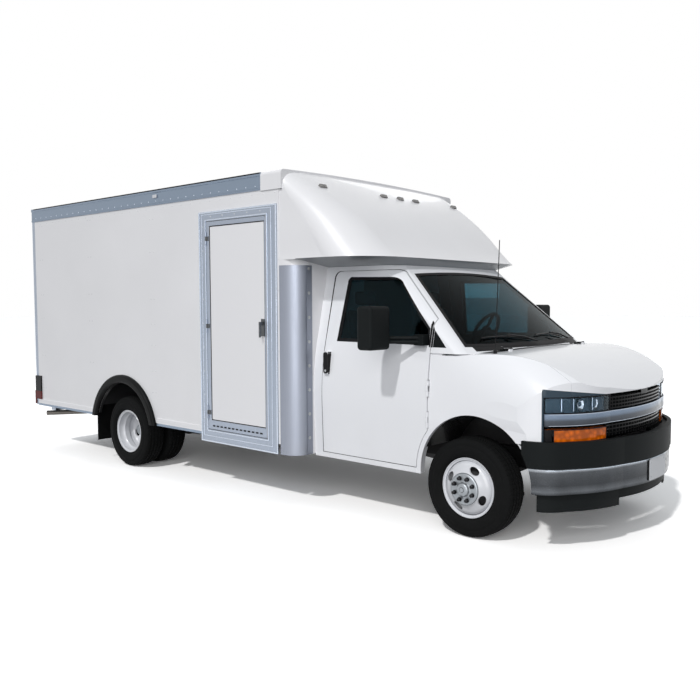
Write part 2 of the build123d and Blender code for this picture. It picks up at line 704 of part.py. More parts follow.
def side_door():
    """Side door leaf with its kick band, hinge barrels and latch handle."""
    face = -(BOX_HALF + FRAME_PROUD)
    leaf = block(SIDE_LEAF_X, (face, face + SIDE_LEAF_T), SIDE_LEAF_Z)
    panel_x = (SIDE_LEAF_X[0] + 42, SIDE_LEAF_X[1] - 10)
    panel_z = (SIDE_LEAF_Z[0] + 82, SIDE_LEAF_Z[1] - 37)
    leaf -= block(panel_x, (face - 1, face + 3), panel_z)
    shape = leaf
    for barrel in SIDE_HINGE_LEAF:
        shape += barrel
    handle_x = SIDE_LEAF_X[1] - 34
    base = block((handle_x - 22, handle_x + 22), (face - 6, face + 3), (1410, 1555))
    grip = block((handle_x - 8, handle_x + 8), (face - 44, face - 32), (1400, 1530))
    neck = block((handle_x - 8, handle_x + 8), (face - 44, face), (1500, 1530))
    return shape + base + grip + neck


def rear_frame():
    """Rear portal with door stops, under-run bar and its brackets."""
    x = (BOX_REAR, WALL_REAR)
    opening = (-REAR_OPENING_Y, REAR_OPENING_Y)
    portal = block(x, (-BOX_HALF, BOX_HALF), (SILL_RAIL_Z[0], ROOF_EDGE_Z - 25))
    stop_x = BOX_REAR + REAR_LEAF_T + SEAT
    portal -= block((BOX_REAR - 1, stop_x), opening, REAR_OPENING_Z)
    inner_z = (REAR_OPENING_Z[0] - 4, REAR_OPENING_Z[1] - 25)
    inner_y = REAR_OPENING_Y - 25
    portal -= block((stop_x - 1, WALL_REAR + 1), (-inner_y, inner_y), inner_z)
    for z in inner_z:
        portal -= block((BOX_REAR - 1, WALL_REAR + 1), (-BOX_HALF - 1, BOX_HALF + 1), (z, z + SEAT))
    bumper = block((UNDERRUN_REAR, BOX_REAR + 60), (-1000, 1000), STEP_BAR_Z)
    bumper -= rod(TOW_HOLE_R, (TOW_HOLE_X, 0, STEP_BAR_Z[0] - 1), (TOW_HOLE_X, 0, STEP_BAR_Z[1] + 1))
    shape = portal + bumper
    for sign in (-1, 1):
        y = tuple(sorted((sign * (RAIL_Y - 60), sign * (RAIL_Y - 10))))
        shape += block((BOX_REAR + 20, BOX_REAR + 55), y, (440, 500))
        shape += block((BOX_REAR + 20, FRAME_X[0]), y, (500, 590))
    for piece in REAR_HINGE_FRAME:
        shape += piece + other_side(piece)
    return shape


REAR_HINGE_AXIS = (BOX_REAR - HINGE_R - 1.0, REAR_OPENING_Y - GAP / 2)
REAR_HINGE_Z = (840.0, 1610.0, 2380.0)
REAR_HINGE_FRAME, REAR_HINGE_LEAF = vertical_hinge(
    REAR_HINGE_AXIS, REAR_HINGE_Z, (HINGE_R + 1.0, 40.0), (HINGE_R + 1.0, -40.0))


def rear_door():
    """Left rear door leaf with its lock rod."""
    leaf_z = (REAR_OPENING_Z[0] + GAP, REAR_OPENING_Z[1] - GAP)
    leaf = block((BOX_REAR, BOX_REAR + REAR_LEAF_T), (GAP / 2, REAR_OPENING_Y - GAP), leaf_z)
    shape = leaf
    for barrel in REAR_HINGE_LEAF:
        shape += barrel
    bar_y = 130.0
    bar_x = BOX_REAR - 22
    shape += rod(11.0, (bar_x, bar_y, leaf_z[0] + 15), (bar_x, bar_y, leaf_z[1] - 15))
    for z in (800.0, 1250.0, 1950.0, 2450.0):
        shape += block((bar_x - 14, BOX_REAR), (bar_y - 24, bar_y + 24), (z - 22, z + 22))
    shape += block((bar_x - 12, bar_x + 4), (bar_y, bar_y + 260), (1090, 1120))
    return shape


def wheel_flares():
    """Rubber flares round the rear arches, and the flaps behind the wheels."""
    outer = ARCH_REAR_R + FLARE_W
    y = (BOX_HALF, BOX_HALF + FLARE_PROUD)
    shape = disc(outer, y, -WHEELBASE, AXLE_Z) - disc(ARCH_REAR_R, (y[0] - 1, y[1] + 1), -WHEELBASE, AXLE_Z)
    edges = [e for e in shape.edges() if e.geom_type == GeomType.CIRCLE and e.center().Y > y[1] - 1]
    shape = fillet(edges, 26.0) if edges else shape
    low = SILL_RAIL_Z[0]
    shape -= block((-WHEELBASE - 900, -WHEELBASE + 900), (0, 2000), (-600, low))
    flap_x = -WHEELBASE - 560
    flap = block((flap_x - 10, flap_x), (650, BOX_HALF - WALL - SEAT), (210, FLOOR_Z[0]))
    return both(shape + flap)


def tail_lamps():
    box = block((BOX_REAR, BOX_REAR + 135), (BOX_HALF, BOX_HALF + 14), (562, 835))
    rear = block((BOX_REAR - 30, BOX_REAR), (REAR_OPENING_Y + 10, BOX_HALF + 6), (500, 655))
    return both(box - rear) + both(rear)


MARKER_Y = (0.0, 232.0, 937.0)


def cap_front_x(y, z):
    """x of the cap's outer face at one point, along a ray from the front."""
    ray = rod(1.0, (-400, y, z), (-1900, y, z))
    hit = ray & cap_form(0.0, POST_REAR)
    return hit.bounding_box().max.X


def marker_lamps():
    """Five small lamps along the brow of the cap."""
    shape = None
    for y in MARKER_Y:
        z = 2620.0 if y < 500 else 2636.0
        x = cap_front_x(y, z)
        lamp = Pos(x - 2, y, z) * Rot(0, -35, 0) * Box(34, 74, 30)
        lamp = lamp if y == 0 else both(lamp)
        shape = lamp if shape is None else shape + lamp
    return shape - cap_form(0.0, POST_REAR)


# ---------------------------------------------------------------- cab forms
# plan of the greenhouse at the belt and at the roof, joined by straight walls
# columns: half width, x where the side ends, corner middle x and y, x and y where the
# windscreen begins, x of the windscreen on the centre line
BELT_PLAN = (952.0, -130.0, -82.0, 934.0, -50.0, 900.0, 95.0)
ROOF_PLAN = (812.0, -900.0, -822.0, 762.0, -768.0, 680.0, -735.0)


def greenhouse_rows(z, inset, rear):
    share = (z - BELT_Z) / (ROOF_Z - BELT_Z)
    plan = [low + (high - low) * share for low, high in zip(BELT_PLAN, ROOF_PLAN)]
    half, side_x, mid_x, mid_y, corner_x, corner_y, front_x = [value - inset for value in plan]
    return [
        (rear, -half), (side_x, -half), (mid_x, -mid_y, corner_x, -corner_y),
        (front_x, 0, corner_x, corner_y), (mid_x, mid_y, side_x, half), (rear, half),
    ]


def greenhouse(inset, rear, z):
    faces = [outline(greenhouse_rows(level, inset, rear), on_xy(level)) for level in z]
    return loft(faces, ruled=True)


# cross sections of the lower cab, the wings and the hood, front door edge to nose
# columns: x, half width, side top z, shoulder middle y and z, top corner y and z, centre z
NOSE_SECTIONS = [
    (-440.0, 990.0, 850.0, 984.0, 1120.0, 952.0, 1345.0, 1352.0),
    (150.0, 989.0, 830.0, 982.0, 1120.0, 905.0, 1328.0, 1346.0),
    (600.0, 986.0, 790.0, 958.0, 1060.0, 790.0, 1248.0, 1272.0),
    (800.0, 985.0, 740.0, 935.0, 960.0, 740.0, 1132.0, 1166.0),
    (940.0, 984.0, 700.0, 925.0, 850.0, 720.0, 1020.0, 1046.0),
]
SILL_HALF = 972.0


def section_rows(section, inset, foot):
    x, half, side_z, mid_y, mid_z, top_y, top_z, centre_z = section
    lift = inset
    half -= inset
    mid_y -= inset
    mid_z -= inset * 0.3
    top_y -= inset * 0.8
    top_z -= lift
    centre_z -= lift
    sill = SILL_HALF - inset
    return [
        (-sill, foot), (sill, foot), (half, side_z), (mid_y, mid_z, top_y, top_z),
        (0, centre_z, -top_y, top_z), (-mid_y, mid_z, -half, side_z),
    ]


def nose_body(inset, foot=ROCKER_Z):
    """Closed form of the wings and hood before the nose is rounded in plan."""
    faces = [outline(section_rows(s, inset, foot), on_yz(s[0])) for s in NOSE_SECTIONS]
    return loft(faces)


NOSE_PLAN = [
    (-441.0, -1000.0), (430.0, -1000.0), (542.0, -968.0, 640.0, -895.0),
    (768.0, -740.0, 856.0, -480.0), (902.0, -245.0, 917.0, 0.0), (902.0, 245.0, 856.0, 480.0),
    (768.0, 740.0, 640.0, 895.0), (542.0, 968.0, 430.0, 1000.0), (-441.0, 1000.0),
]


def plan_prism(rows, inset, z):
    face = outline(rows, on_xy(z[0]))
    if inset:
        face = offset(face, amount=-inset)
    return extrude(face, amount=z[1] - z[0], dir=(0, 0, 1))


def nose(inset, foot=ROCKER_Z):
    return nose_body(inset, foot) & plan_prism(NOSE_PLAN, inset, (foot - 10, 1500))


def lower_cab(inset, x):
    """Straight lower body behind the wings, up to the belt."""
    rows = section_rows(NOSE_SECTIONS[0], inset, ROCKER_Z)
    sill = rows[1][0]
    half, side_z = rows[2]
    mid_y, mid_z, top_y = rows[3][:3]
    flat = [
        (-sill, ROCKER_Z), (sill, ROCKER_Z), (half, side_z), (mid_y, mid_z, top_y, BELT_Z),
        (-top_y, BELT_Z), (-mid_y, mid_z, -half, side_z),
    ]
    return along_x(flat, x)


def cab_form(inset, rear):
    low = lower_cab(inset, (rear, -200.0))
    high = greenhouse(inset, rear, (BELT_Z, ROOF_Z - min(inset, ROOF_SKIN)))
    return low + high


# side view of the door opening, clockwise from the foot of the hinge edge
def arch_point(radius, degrees):
    angle = math.radians(degrees)
    return (ARCH_X + radius * math.cos(angle), ARCH_Z + radius * math.sin(angle))


DOOR_ARC_LOW = (ARCH_X - math.sqrt(DOOR_ARC_R ** 2 - (DOOR_FOOT - ARCH_Z) ** 2), DOOR_FOOT)
DOOR_ARC_HIGH = (DOOR_FRONT, ARCH_Z + math.sqrt(DOOR_ARC_R ** 2 - (ARCH_X - DOOR_FRONT) ** 2))
DOOR_ROWS = [
    DOOR_ARC_LOW, arch_point(DOOR_ARC_R, 159.0) + DOOR_ARC_HIGH, (DOOR_FRONT, 1570.0),
    (-700.0, 1915.0), (-742.0, 1945.0, -800.0, DOOR_TOP), (-1330.0, DOOR_TOP),
    (-1375.0, 1932.0, -1392.0, 1890.0), (DOOR_REAR, DOOR_FOOT),
]
# the leaf's rear edge stands off a little more towards the top, where the side leans in
LEAF_ROWS = DOOR_ROWS[:5] + [
    (-1320.0, DOOR_TOP), (-1366.0, 1932.0, -1383.0, 1888.0), (DOOR_REAR + 2.0, BELT_Z - 200),
    (DOOR_REAR + 2.0, DOOR_FOOT),
]
WINDOW_ROWS = [
    (-338.0, 1374.0), (-345.0, 1500.0), (-672.0, 1836.0), (-718.0, 1874.0, -780.0, 1890.0),
    (-1190.0, 1898.0), (-1224.0, 1888.0, -1236.0, 1850.0), (-1268.0, 1376.0),
]
PATCH_ROWS = [(-303.0, 1362.0), (-180.0, 1362.0), (-303.0, 1490.0)]


def side_prism(rows, inset, y=(640.0, 1100.0)):
    face = outline(rows, on_xz(y[0]))
    if inset:
        face = offset(face, amount=-inset)
    return extrude(face, amount=y[1] - y[0], dir=(0, 1, 0))


SCREEN_ROWS = [
    (-872.0, 1368.0), (0.0, 1356.0, 872.0, 1368.0), (668.0, 1915.0), (0.0, 1938.0, -668.0, 1915.0),
]


def screen_prism(inset):
    face = outline(SCREEN_ROWS, on_yz(-1150.0))
    if inset:
        face = offset(face, amount=-inset)
    return extrude(face, amount=1400.0, dir=(1, 0, 0))


WHEELHOUSE = both(disc(ARCH_R, (470.0, 1100.0), ARCH_X, ARCH_Z))
WHEELHOUSE_OUTER = both(disc(ARCH_R + SKIN, (470.0, 1100.0), ARCH_X, ARCH_Z))
NOSE_OUTER = nose(0.0)
NOSE_INNER = nose(SKIN, ROCKER_Z - 5) + block((-500, -420), (-970, 970), (400, 1300))
NOSE_SKIN = NOSE_OUTER - NOSE_INNER
PILLAR_X = (-433.0, -220.0)

CAB_HINGE_AXIS = (DOOR_FRONT - GAP / 2, 994.0)
CAB_HINGE_Z = (830.0, 1060.0)
CAB_HINGE_FRAME, CAB_HINGE_LEAF = vertical_hinge(
    CAB_HINGE_AXIS, CAB_HINGE_Z, (8.5, -30.0), (-20.0, -16.0))


def hinge_pocket(shape, x):
    """Room in a panel for the fixed ears of the left door's hinges."""
    for z in CAB_HINGE_Z:
        shape -= block(x, (955, 1010), (z - 64, z + 64))
        shape -= rod(HINGE_R + 3, (*CAB_HINGE_AXIS, z - 64), (*CAB_HINGE_AXIS, z + 64))
    return shape


def cab_shell():
    """Roof, pillars, rear quarters and rockers, with both door openings."""
    rear = CAB_REAR
    outer = lower_cab(0.0, (rear, PILLAR_X[0] + 1)) + lower_cab(SKIN + 1.0, PILLAR_X)
    outer += greenhouse(0.0, rear, (BELT_Z - 25, ROOF_Z))
    shell = outer - cab_form(CAB_WALL, rear - 10)
    rebate = both(side_prism(DOOR_ROWS, 0.0)) - cab_form(DOOR_T + SEAT, rear - 10)
    shell -= rebate
    shell -= both(side_prism(DOOR_ROWS, GAP + APERTURE_LIP))
    shell -= screen_prism(0.0)
    shell -= both(side_prism(PATCH_ROWS, 0.0))
    shell -= NOSE_SKIN
    shell -= NOSE_OUTER & block((PILLAR_X[1], 1000), (-1100, 1100), (400, 1400))
    shell -= WHEELHOUSE_OUTER
    for piece in CAB_HINGE_FRAME:
        shell += both(piece)
    return shell


def cab_door():
    """Left cab door with its window frame and handle."""
    leaf = cab_form(0.0, CAB_REAR) - cab_form(DOOR_T, CAB_REAR - 10)
    leaf &= side_prism(LEAF_ROWS, GAP)
    wrap_rows = [(0, BELT_Z), (BELT_PLAN[3], BELT_Z), (ROOF_PLAN[3], ROOF_Z), (0, ROOF_Z)]
    leaf -= cab_form(WRAP_T, CAB_REAR - 10) & along_x(wrap_rows, (-1000.0, -300.0))
    leaf -= side_prism(WINDOW_ROWS, 0.0)
    leaf = hinge_pocket(leaf, (CAB_HINGE_AXIS[0] - 5.5, DOOR_FRONT))
    for piece in CAB_HINGE_LEAF:
        leaf += piece
    handle = along_y([(-1363, 1108), (-1363, 1290), (-1313, 1290), (-1313, 1108)], (960, 1006))
    handle -= cab_form(0.0, CAB_REAR)
    return leaf + handle


def door_glass():
    pane = cab_form(14.0, CAB_REAR) - cab_form(14.0 + GLASS_T, CAB_REAR - 10)
    return pane & side_prism(WINDOW_ROWS, 0.5)


def windshield():
    pane = greenhouse(3.0, CAB_REAR, (BELT_Z, ROOF_Z - 5))
    pane -= greenhouse(3.0 + GLASS_T, CAB_REAR - 10, (BELT_Z - 1, ROOF_Z - 10))
    return pane & screen_prism(0.5) & block((-900, 300), (-1000, 1000), (1300, 1990))


def wing():
    """Left front wing with its wheelhouse liner."""
    shell = NOSE_SKIN & block((-500, 1000), (HOOD_SIDE + GAP / 2, 1100), (ROCKER_Z - 5, 1400))
    shell -= block((590, 1100), (0, 1100), (NOSE_BOTTOM, LAMP_TOP))
    shell -= block((ARCH_X + 100, 1100), (0, 1100), (0, NOSE_BOTTOM))
    shell -= side_prism(DOOR_ROWS, 0.0)
    shell -= block((-600, PILLAR_X[0] + 2), (0, 1100), (0, 2000))
    liner = disc(ARCH_R + SKIN - 1, (500, 976), ARCH_X, ARCH_Z) - disc(ARCH_R, (499, 977), ARCH_X, ARCH_Z)
    liner &= block((-600, 1000), (400, 1000), (RAIL_Z[1] + 20, 1000))
    liner &= NOSE_INNER + block((-500, 500), (400, HOOD_SIDE), (500, 1100))
    shell -= disc(ARCH_R, (400, 1100), ARCH_X, ARCH_Z)
    return hinge_pocket(shell + liner, (DOOR_FRONT - 1, DOOR_FRONT + 9))


HOOD_AXIS = (HOOD_REAR + GAP / 2, 1350.0)
HOOD_HINGE_Y = (-600.0, 600.0)
HOOD_HINGE_FRAME, HOOD_HINGE_LEAF = vertical_hinge((0.0, 0.0), (0.0,), (-30.0, -18.0), (30.0, -20.0))


def across(piece):
    """The hood's two hinges, from one hinge drawn upright at the origin."""
    places = [Pos(HOOD_AXIS[0], y, HOOD_AXIS[1]) * Rot(90, 0, 0) * piece for y in HOOD_HINGE_Y]
    return places[0] + places[1]


def hood():
    """Hood between the wings, down to the grille, with its hinge barrels."""
    half = HOOD_SIDE - GAP / 2
    shell = NOSE_SKIN & block((HOOD_REAR + GAP, 1000), (-half, half), (LAMP_TOP + GAP, 1400))
    return shell + across(HOOD_HINGE_LEAF[0])


def cowl_panel():
    """Dark panel under the windscreen, with the hood's hinge ears and the corner patches."""
    panel = NOSE_SKIN & block((-200, HOOD_REAR), (-HOOD_SIDE, HOOD_SIDE), (1200, 1400))
    panel -= greenhouse(CAB_WALL, CAB_REAR, (BELT_Z - 200, BELT_Z + 10))
    patch = cab_form(2.0, CAB_REAR) - cab_form(14.0, CAB_REAR - 10)
    patch &= side_prism(PATCH_ROWS, 0.5)
    return panel + both(patch) + across(HOOD_HINGE_FRAME[0])


def dashboard():
    """Dashboard with the steering column and wheel."""
    rows = [(-430, 1010), (-470, 1120), (-440, 1250), (-300, 1290), (-150, 1290), (-150, 1010)]
    dash = along_y(rows, (-850, 850)) - block((-500, -80), (-305, 305), (1000, HUMP_TOP + SEAT))
    centre = (-700.0, 400.0, 1425.0)
    tilt = math.radians(28.0)
    normal = Vector(-math.cos(tilt), 0, math.sin(tilt))
    wheel_plane = Plane(origin=centre, z_dir=normal)
    rim = wheel_plane * Torus(180.0, 15.0)
    boss = wheel_plane * Cylinder(55.0, 40.0)
    spokes = wheel_plane * Box(350.0, 34.0, 14.0) + wheel_plane * Box(34.0, 350.0, 14.0)
    end = Vector(*centre) - normal * 420.0
    column = rod(32.0, centre, tuple(end))
    return dash + column + rim + boss + spokes


def seats():
    """Two cab seats on their boxes."""
    rows = [
        (-760, 1010), (-780, 1070), (-1180, 1040), (-1300, 1650), (-1320, 1800), (-1410, 1800),
        (-1400, 1640), (-1300, 960), (-780, 920),
    ]
    pad = along_y(rows, (160 + 70, 730))
    box = block((-1250, -800), (260, 700), (CAB_FLOOR_Z + CAB_SHEET, 925))
    return both(pad + box)


HUMP_TOP = 1068.0
FIREWALL_ROWS = [(-440.0, CAB_FLOOR_Z), (-395.0, 985.0), (-128.0, 1000.0), (-110.0, 1285.0)]
HUMP_ROWS = [(-900.0, CAB_FLOOR_Z)] + FIREWALL_ROWS[:3] + [(-112.0, 1100.0), (-900.0, 1100.0)]


def cab_floor():
    """Cab floor, toe board and firewall in one bent sheet, with the engine cover."""
    low = [(CAB_REAR, CAB_FLOOR_Z)] + FIREWALL_ROWS
    high = [(x - CAB_SHEET, z + CAB_SHEET) for x, z in FIREWALL_ROWS]
    high = [(CAB_REAR, CAB_FLOOR_Z + CAB_SHEET)] + high
    sheet = along_y(low + high[::-1], (-1000, 1000))
    hump_outer = block((-740, -90), (-300, 300), (600, HUMP_TOP))
    hump_inner = block((-732, 0), (-292, 292), (590, HUMP_TOP - CAB_SHEET))
    sheet -= hump_inner
    hump = (hump_outer - hump_inner) & side_prism(HUMP_ROWS, 0.0, (-400.0, 400.0))
    room = both(disc(ARCH_R + SKIN + 1, (470.0, 1100.0), ARCH_X, ARCH_Z))
    return (sheet + hump - room) & lower_cab(CAB_WALL + SEAT, (CAB_REAR, -80))


# ---------------------------------------------------------------- face of the vehicle
def face_strip(depth, y, z):
    """A strip that follows the nose in plan, between two depths behind its face."""
    body = plan_prism(NOSE_PLAN, depth[0], z)
    body -= plan_prism(NOSE_PLAN, depth[1], (z[0] - 1, z[1] + 1))
    return body & block((596, 1100), y, z)


def headlamps():
    strip = face_strip((3.0, 62.0 - SEAT), (GRILLE_HALF + 4, LAMP_HALF), (BAR_Z[1] + SEAT, LAMP_TOP))
    return both(strip & NOSE_OUTER)


def turn_signals():
    return both(face_strip((4.0, 62.0 - SEAT), (GRILLE_HALF + 40, LAMP_HALF - 10), TURN_Z))


def grille():
    """Bright bar across the face, with dark mesh above and below it."""
    bar = face_strip((-6.0, 60.0), (-LAMP_HALF, LAMP_HALF), BAR_Z)
    back = face_strip((62.0, 70.0), (-LAMP_HALF, LAMP_HALF), (NOSE_BOTTOM + 4, LAMP_TOP - 4))
    shape = bar + face_strip((59.0, 71.0), (-LAMP_HALF, LAMP_HALF), BAR_Z)
    shape += back
    for low in (960.0, 984.0, 1008.0, 1032.0):
        shape += face_strip((8.0, 63.0), (-GRILLE_HALF, GRILLE_HALF), (low, low + 9.0))
    for low in (764.0, 790.0, 816.0, 842.0):
        shape += face_strip((8.0, 63.0), (-GRILLE_HALF - 34, GRILLE_HALF + 34), (low, low + 9.0))
    latch = face_strip((6.0, 66.0), (-60, 60), (1030.0, LAMP_TOP + GAP - SEAT))
    return shape + latch


BUMPER_PLAN = [
    (300.0, -998.0), (480.0, -998.0), (620.0, -965.0, 740.0, -838.0), (865.0, -650.0, 940.0, -435.0),
    (998.0, -220.0, 1015.0, 0.0), (998.0, 220.0, 940.0, 435.0), (865.0, 650.0, 740.0, 838.0),
    (620.0, 965.0, 480.0, 998.0), (300.0, 998.0),
]


def bumper_strip(depth, z, rear_x=BUMPER_SIDE_REAR):
    body = plan_prism(BUMPER_PLAN, depth[0], z)
    body -= plan_prism(BUMPER_PLAN, depth[1], (z[0] - 1, z[1] + 1))
    body &= block((rear_x, 1200), (-1100, 1100), z)
    return body - both(disc(ARCH_R + 8, (450.0, 1100.0), ARCH_X, ARCH_Z))


def bumper_front():
    bar = bumper_strip((0.0, 8.0), CHROME_Z)
    brackets = both(block((FRAME_X[1], 960), (RAIL_Y - 60, RAIL_Y - 10), (480, 570)))
    brackets &= plan_prism(BUMPER_PLAN, 7.0, (400, 700))
    return bar + brackets


def bumper_pad():
    """Dark upper pad of the bumper, and the air dam below it."""
    pad = bumper_strip((-PAD_PROUD, 20.0), PAD_Z)
    shelf = bumper_strip((19.0, 120.0), (PAD_Z[1] - 32, PAD_Z[1] - 26))
    foot = bumper_strip((7.0, 120.0), (PAD_Z[0], PAD_Z[0] + 6))
    dam = bumper_strip((34.0, 46.0), DAM_Z, 560.0)
    dam -= block((700, 1100), (-420, 420), (DAM_Z[0] - 1, 340))
    ledge = bumper_strip((7.0, 47.0), (DAM_Z[1] - 6, DAM_Z[1]), 560.0)
    return pad + shelf + foot + dam + ledge - NOSE_OUTER


def mirror_unit():
    """Left door mirror with its arm."""
    head = block((-690, -550), (1130, 1360), (1345, 1665))
    head = fillet(head.edges(), 28.0)
    arm = rod(14.0, (-600, 1140, 1430), (-400, 985, 1430)) + rod(14.0, (-600, 1140, 1400), (-400, 985, 1400))
    foot = block((-440, -350), (930, 1000), (1375, 1455))
    return head + arm + (foot - cab_form(0.0, CAB_REAR))


def antenna():
    base = Pos(160, -835, 1340) * Cylinder(14.0, 30.0)
    mast = rod(3.0, (160, -835, 1345), (188, -835, 2125))
    return base + mast - NOSE_OUTER


# ---------------------------------------------------------------- the assembly
def build():
    save("chassis_frame", chassis_frame())
    save("engine", engine())
    save("front_suspension", front_suspension())
    save("rear_axle", rear_axle())
    save("fuel_tank", fuel_tank())
    save("exhaust", exhaust())
    save("cab_floor", cab_floor())
    save("cab_shell", cab_shell())
    left_wing = wing()
    save("wing_left", left_wing)
    save("wing_right", other_side(left_wing))
    save("hood", hood())
    save("windshield", windshield())
    save("dashboard", dashboard())
    save("seats", seats())
    save("cowl_panel", cowl_panel())
    save("grille", grille())
    save("headlamps", headlamps())
    save("turn_signals", turn_signals())
    save("bumper_front", bumper_front())
    save("bumper_pad", bumper_pad())
    save("antenna", antenna())
    save("box_floor", box_floor())
    save("box_wall_left", box_wall())
    save("box_wall_right", box_wall_right())
    save("box_roof", box_roof())
    save("box_rails", box_rails())
    save("corner_posts", corner_posts())
    save("front_wall", front_wall())
    save("front_cap", front_cap())
    save("side_door_frame", side_door_frame())
    save("side_door", side_door())
    save("rear_frame", rear_frame())
    save("wheel_flares", wheel_flares())
    save("tail_lamps", tail_lamps())
    save("marker_lamps", marker_lamps())
    pairs = [
        ("rear_door", rear_door()), ("cab_door", cab_door()), ("door_glass", door_glass()),
        ("mirror", mirror_unit()), ("knuckle", knuckle()), ("rim_front", front_wheel()),
        ("tyre_front", tyre(0, FRONT_WHEEL_Y)), ("rims_rear", rear_wheels()),
    ]
    outer_y = REAR_DISC_Y + TWIN_PITCH / 2
    twin = Compound([tyre(-WHEELBASE, outer_y), tyre(-WHEELBASE, outer_y - TWIN_PITCH)])
    pairs.append(("tyres_rear", twin))
    for name, shape in pairs:
        save(name + "_left", shape)
        save(name + "_right", other_side(shape))


build()
for node_name, node_shape in nodes.items():
    export_step(node_shape, f"parts/{node_name}.step")
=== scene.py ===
"""Dresses the box truck's solid model: finishes, tyres, wheels, lamps, trim, seats and a studio."""
import math

import bmesh
import bpy
from mathutils import Matrix, Vector
from mathutils.bvhtree import BVHTree


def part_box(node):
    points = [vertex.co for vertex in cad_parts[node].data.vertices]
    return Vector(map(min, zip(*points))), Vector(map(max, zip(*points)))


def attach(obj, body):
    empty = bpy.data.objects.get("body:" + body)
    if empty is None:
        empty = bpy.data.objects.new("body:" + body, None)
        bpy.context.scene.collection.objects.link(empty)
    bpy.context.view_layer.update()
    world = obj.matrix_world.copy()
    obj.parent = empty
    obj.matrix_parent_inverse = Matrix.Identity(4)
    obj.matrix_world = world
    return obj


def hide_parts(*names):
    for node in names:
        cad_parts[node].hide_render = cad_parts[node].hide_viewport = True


bl_info = {
    "name": "Box Truck Dressing",
    "version": (1, 0, 0),
    "blender": (4, 5, 0),
    "location": "View3D > Sidebar > Truck",
    "description": "Finishes and small parts for a box truck",
    "category": "Object",
}

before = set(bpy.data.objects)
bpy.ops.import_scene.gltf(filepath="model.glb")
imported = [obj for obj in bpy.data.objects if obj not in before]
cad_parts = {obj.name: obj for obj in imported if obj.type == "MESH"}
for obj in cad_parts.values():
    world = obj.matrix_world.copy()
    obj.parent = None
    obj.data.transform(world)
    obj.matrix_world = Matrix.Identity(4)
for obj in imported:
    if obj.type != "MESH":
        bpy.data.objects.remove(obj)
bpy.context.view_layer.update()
AXLE_X = sum(corner.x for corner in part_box("tyre_front_left")) / 2
AXLE_Z = 362.0
WHEELBASE = 4039.0
BOX_HALF = 1193.0
SIDES = (("left", 1.0), ("right", -1.0))
AHEAD = Vector((1.0, 0.0, 0.0))
BACK = Vector((-1.0, 0.0, 0.0))


def at(x, y, z):
    """A point given in millimetres from the front axle line, the middle and the ground."""
    return Vector((x / 1000.0 + AXLE_X, y / 1000.0, z / 1000.0))


# ------------------------------------------------------------------ settings
class TruckColours(bpy.types.PropertyGroup):
    body: bpy.props.FloatVectorProperty(
        name="Body paint", description="Cab, doors and wings", subtype="COLOR", size=3,
        min=0.0, max=1.0, default=(0.80, 0.805, 0.83))
    panel: bpy.props.FloatVectorProperty(
        name="Box panels", description="Gel coat of the box and its cap", subtype="COLOR", size=3,
        min=0.0, max=1.0, default=(0.79, 0.785, 0.80))
    rail: bpy.props.FloatVectorProperty(
        name="Aluminium", description="Rails, posts and door frames", subtype="COLOR", size=3,
        min=0.0, max=1.0, default=(0.33, 0.37, 0.44))
    trim: bpy.props.FloatVectorProperty(
        name="Black trim", description="Moulded black plastic", subtype="COLOR", size=3,
        min=0.0, max=1.0, default=(0.0065, 0.0080, 0.0085))
    rubber: bpy.props.FloatVectorProperty(
        name="Rubber", description="Tyres, flares and seals", subtype="COLOR", size=3,
        min=0.0, max=1.0, default=(0.0065, 0.0068, 0.0070))
    bumper: bpy.props.FloatVectorProperty(
        name="Bumper", description="Dull bright bumper and face bar", subtype="COLOR", size=3,
        min=0.0, max=1.0, default=(0.15, 0.16, 0.175))
    amber: bpy.props.FloatVectorProperty(
        name="Turn lamps", description="Amber lens", subtype="COLOR", size=3,
        min=0.0, max=1.0, default=(0.70, 0.135, 0.003))


class TruckSizes(bpy.types.PropertyGroup):
    rivet: bpy.props.FloatProperty(
        name="Rivet radius", description="Radius of a body rivet's head", unit="LENGTH",
        min=0.002, max=0.02, default=0.007)
    tread_depth: bpy.props.FloatProperty(
        name="Tread depth", description="Depth of the tread's grooves", unit="LENGTH",
        min=0.002, max=0.015, default=0.009)
    film: bpy.props.FloatProperty(
        name="Road film", description="Dust towards the ground", subtype="FACTOR",
        min=0.0, max=1.0, default=0.18)
    floor: bpy.props.FloatProperty(
        name="Floor size", description="Side of the studio floor", unit="LENGTH",
        min=10.0, max=400.0, default=160.0)


def colours():
    return bpy.context.scene.truck_colours


def sizes():
    return bpy.context.scene.truck_sizes


# ------------------------------------------------------------------ shader nodes
FLOAT = "NodeSocketFloat"
COLOUR = "NodeSocketColor"
VECTOR = "NodeSocketVector"


def feed(tree, node, inputs):
    """Give a node's inputs plain values, or a link where the value is another node's socket."""
    for key, value in inputs.items():
        if isinstance(value, bpy.types.NodeSocket):
            tree.links.new(value, node.inputs[key])
        else:
            node.inputs[key].default_value = value


def put(tree, kind, inputs, **settings):
    """Add a node with its settings and inputs, and return its outputs."""
    node = tree.nodes.new("ShaderNode" + kind)
    for key, value in settings.items():
        setattr(node, key, value)
    feed(tree, node, inputs)
    return node.outputs


def maths(tree, operation, *values):
    """The result of a Math node."""
    return put(tree, "Math", dict(enumerate(values)), operation=operation)[0]


def place(tree):
    """Object coordinates."""
    return put(tree, "TexCoord", {})["Object"]


def along(tree, axis):
    """One of the Object coordinates."""
    return put(tree, "SeparateXYZ", {0: place(tree)})[axis]


def ranged(tree, value, low=0.0, high=1.0, to_low=0.0, to_high=1.0, kind="LINEAR"):
    """A value mapped from one range to another and held inside it."""
    return put(tree, "MapRange", {"Value": value, "From Min": low, "From Max": high,
                                  "To Min": to_low, "To Max": to_high}, interpolation_type=kind)["Result"]


def bumped(tree, height, strength, distance):
    """A normal made from a height."""
    return put(tree, "Bump", {"Height": height, "Strength": strength, "Distance": distance})["Normal"]


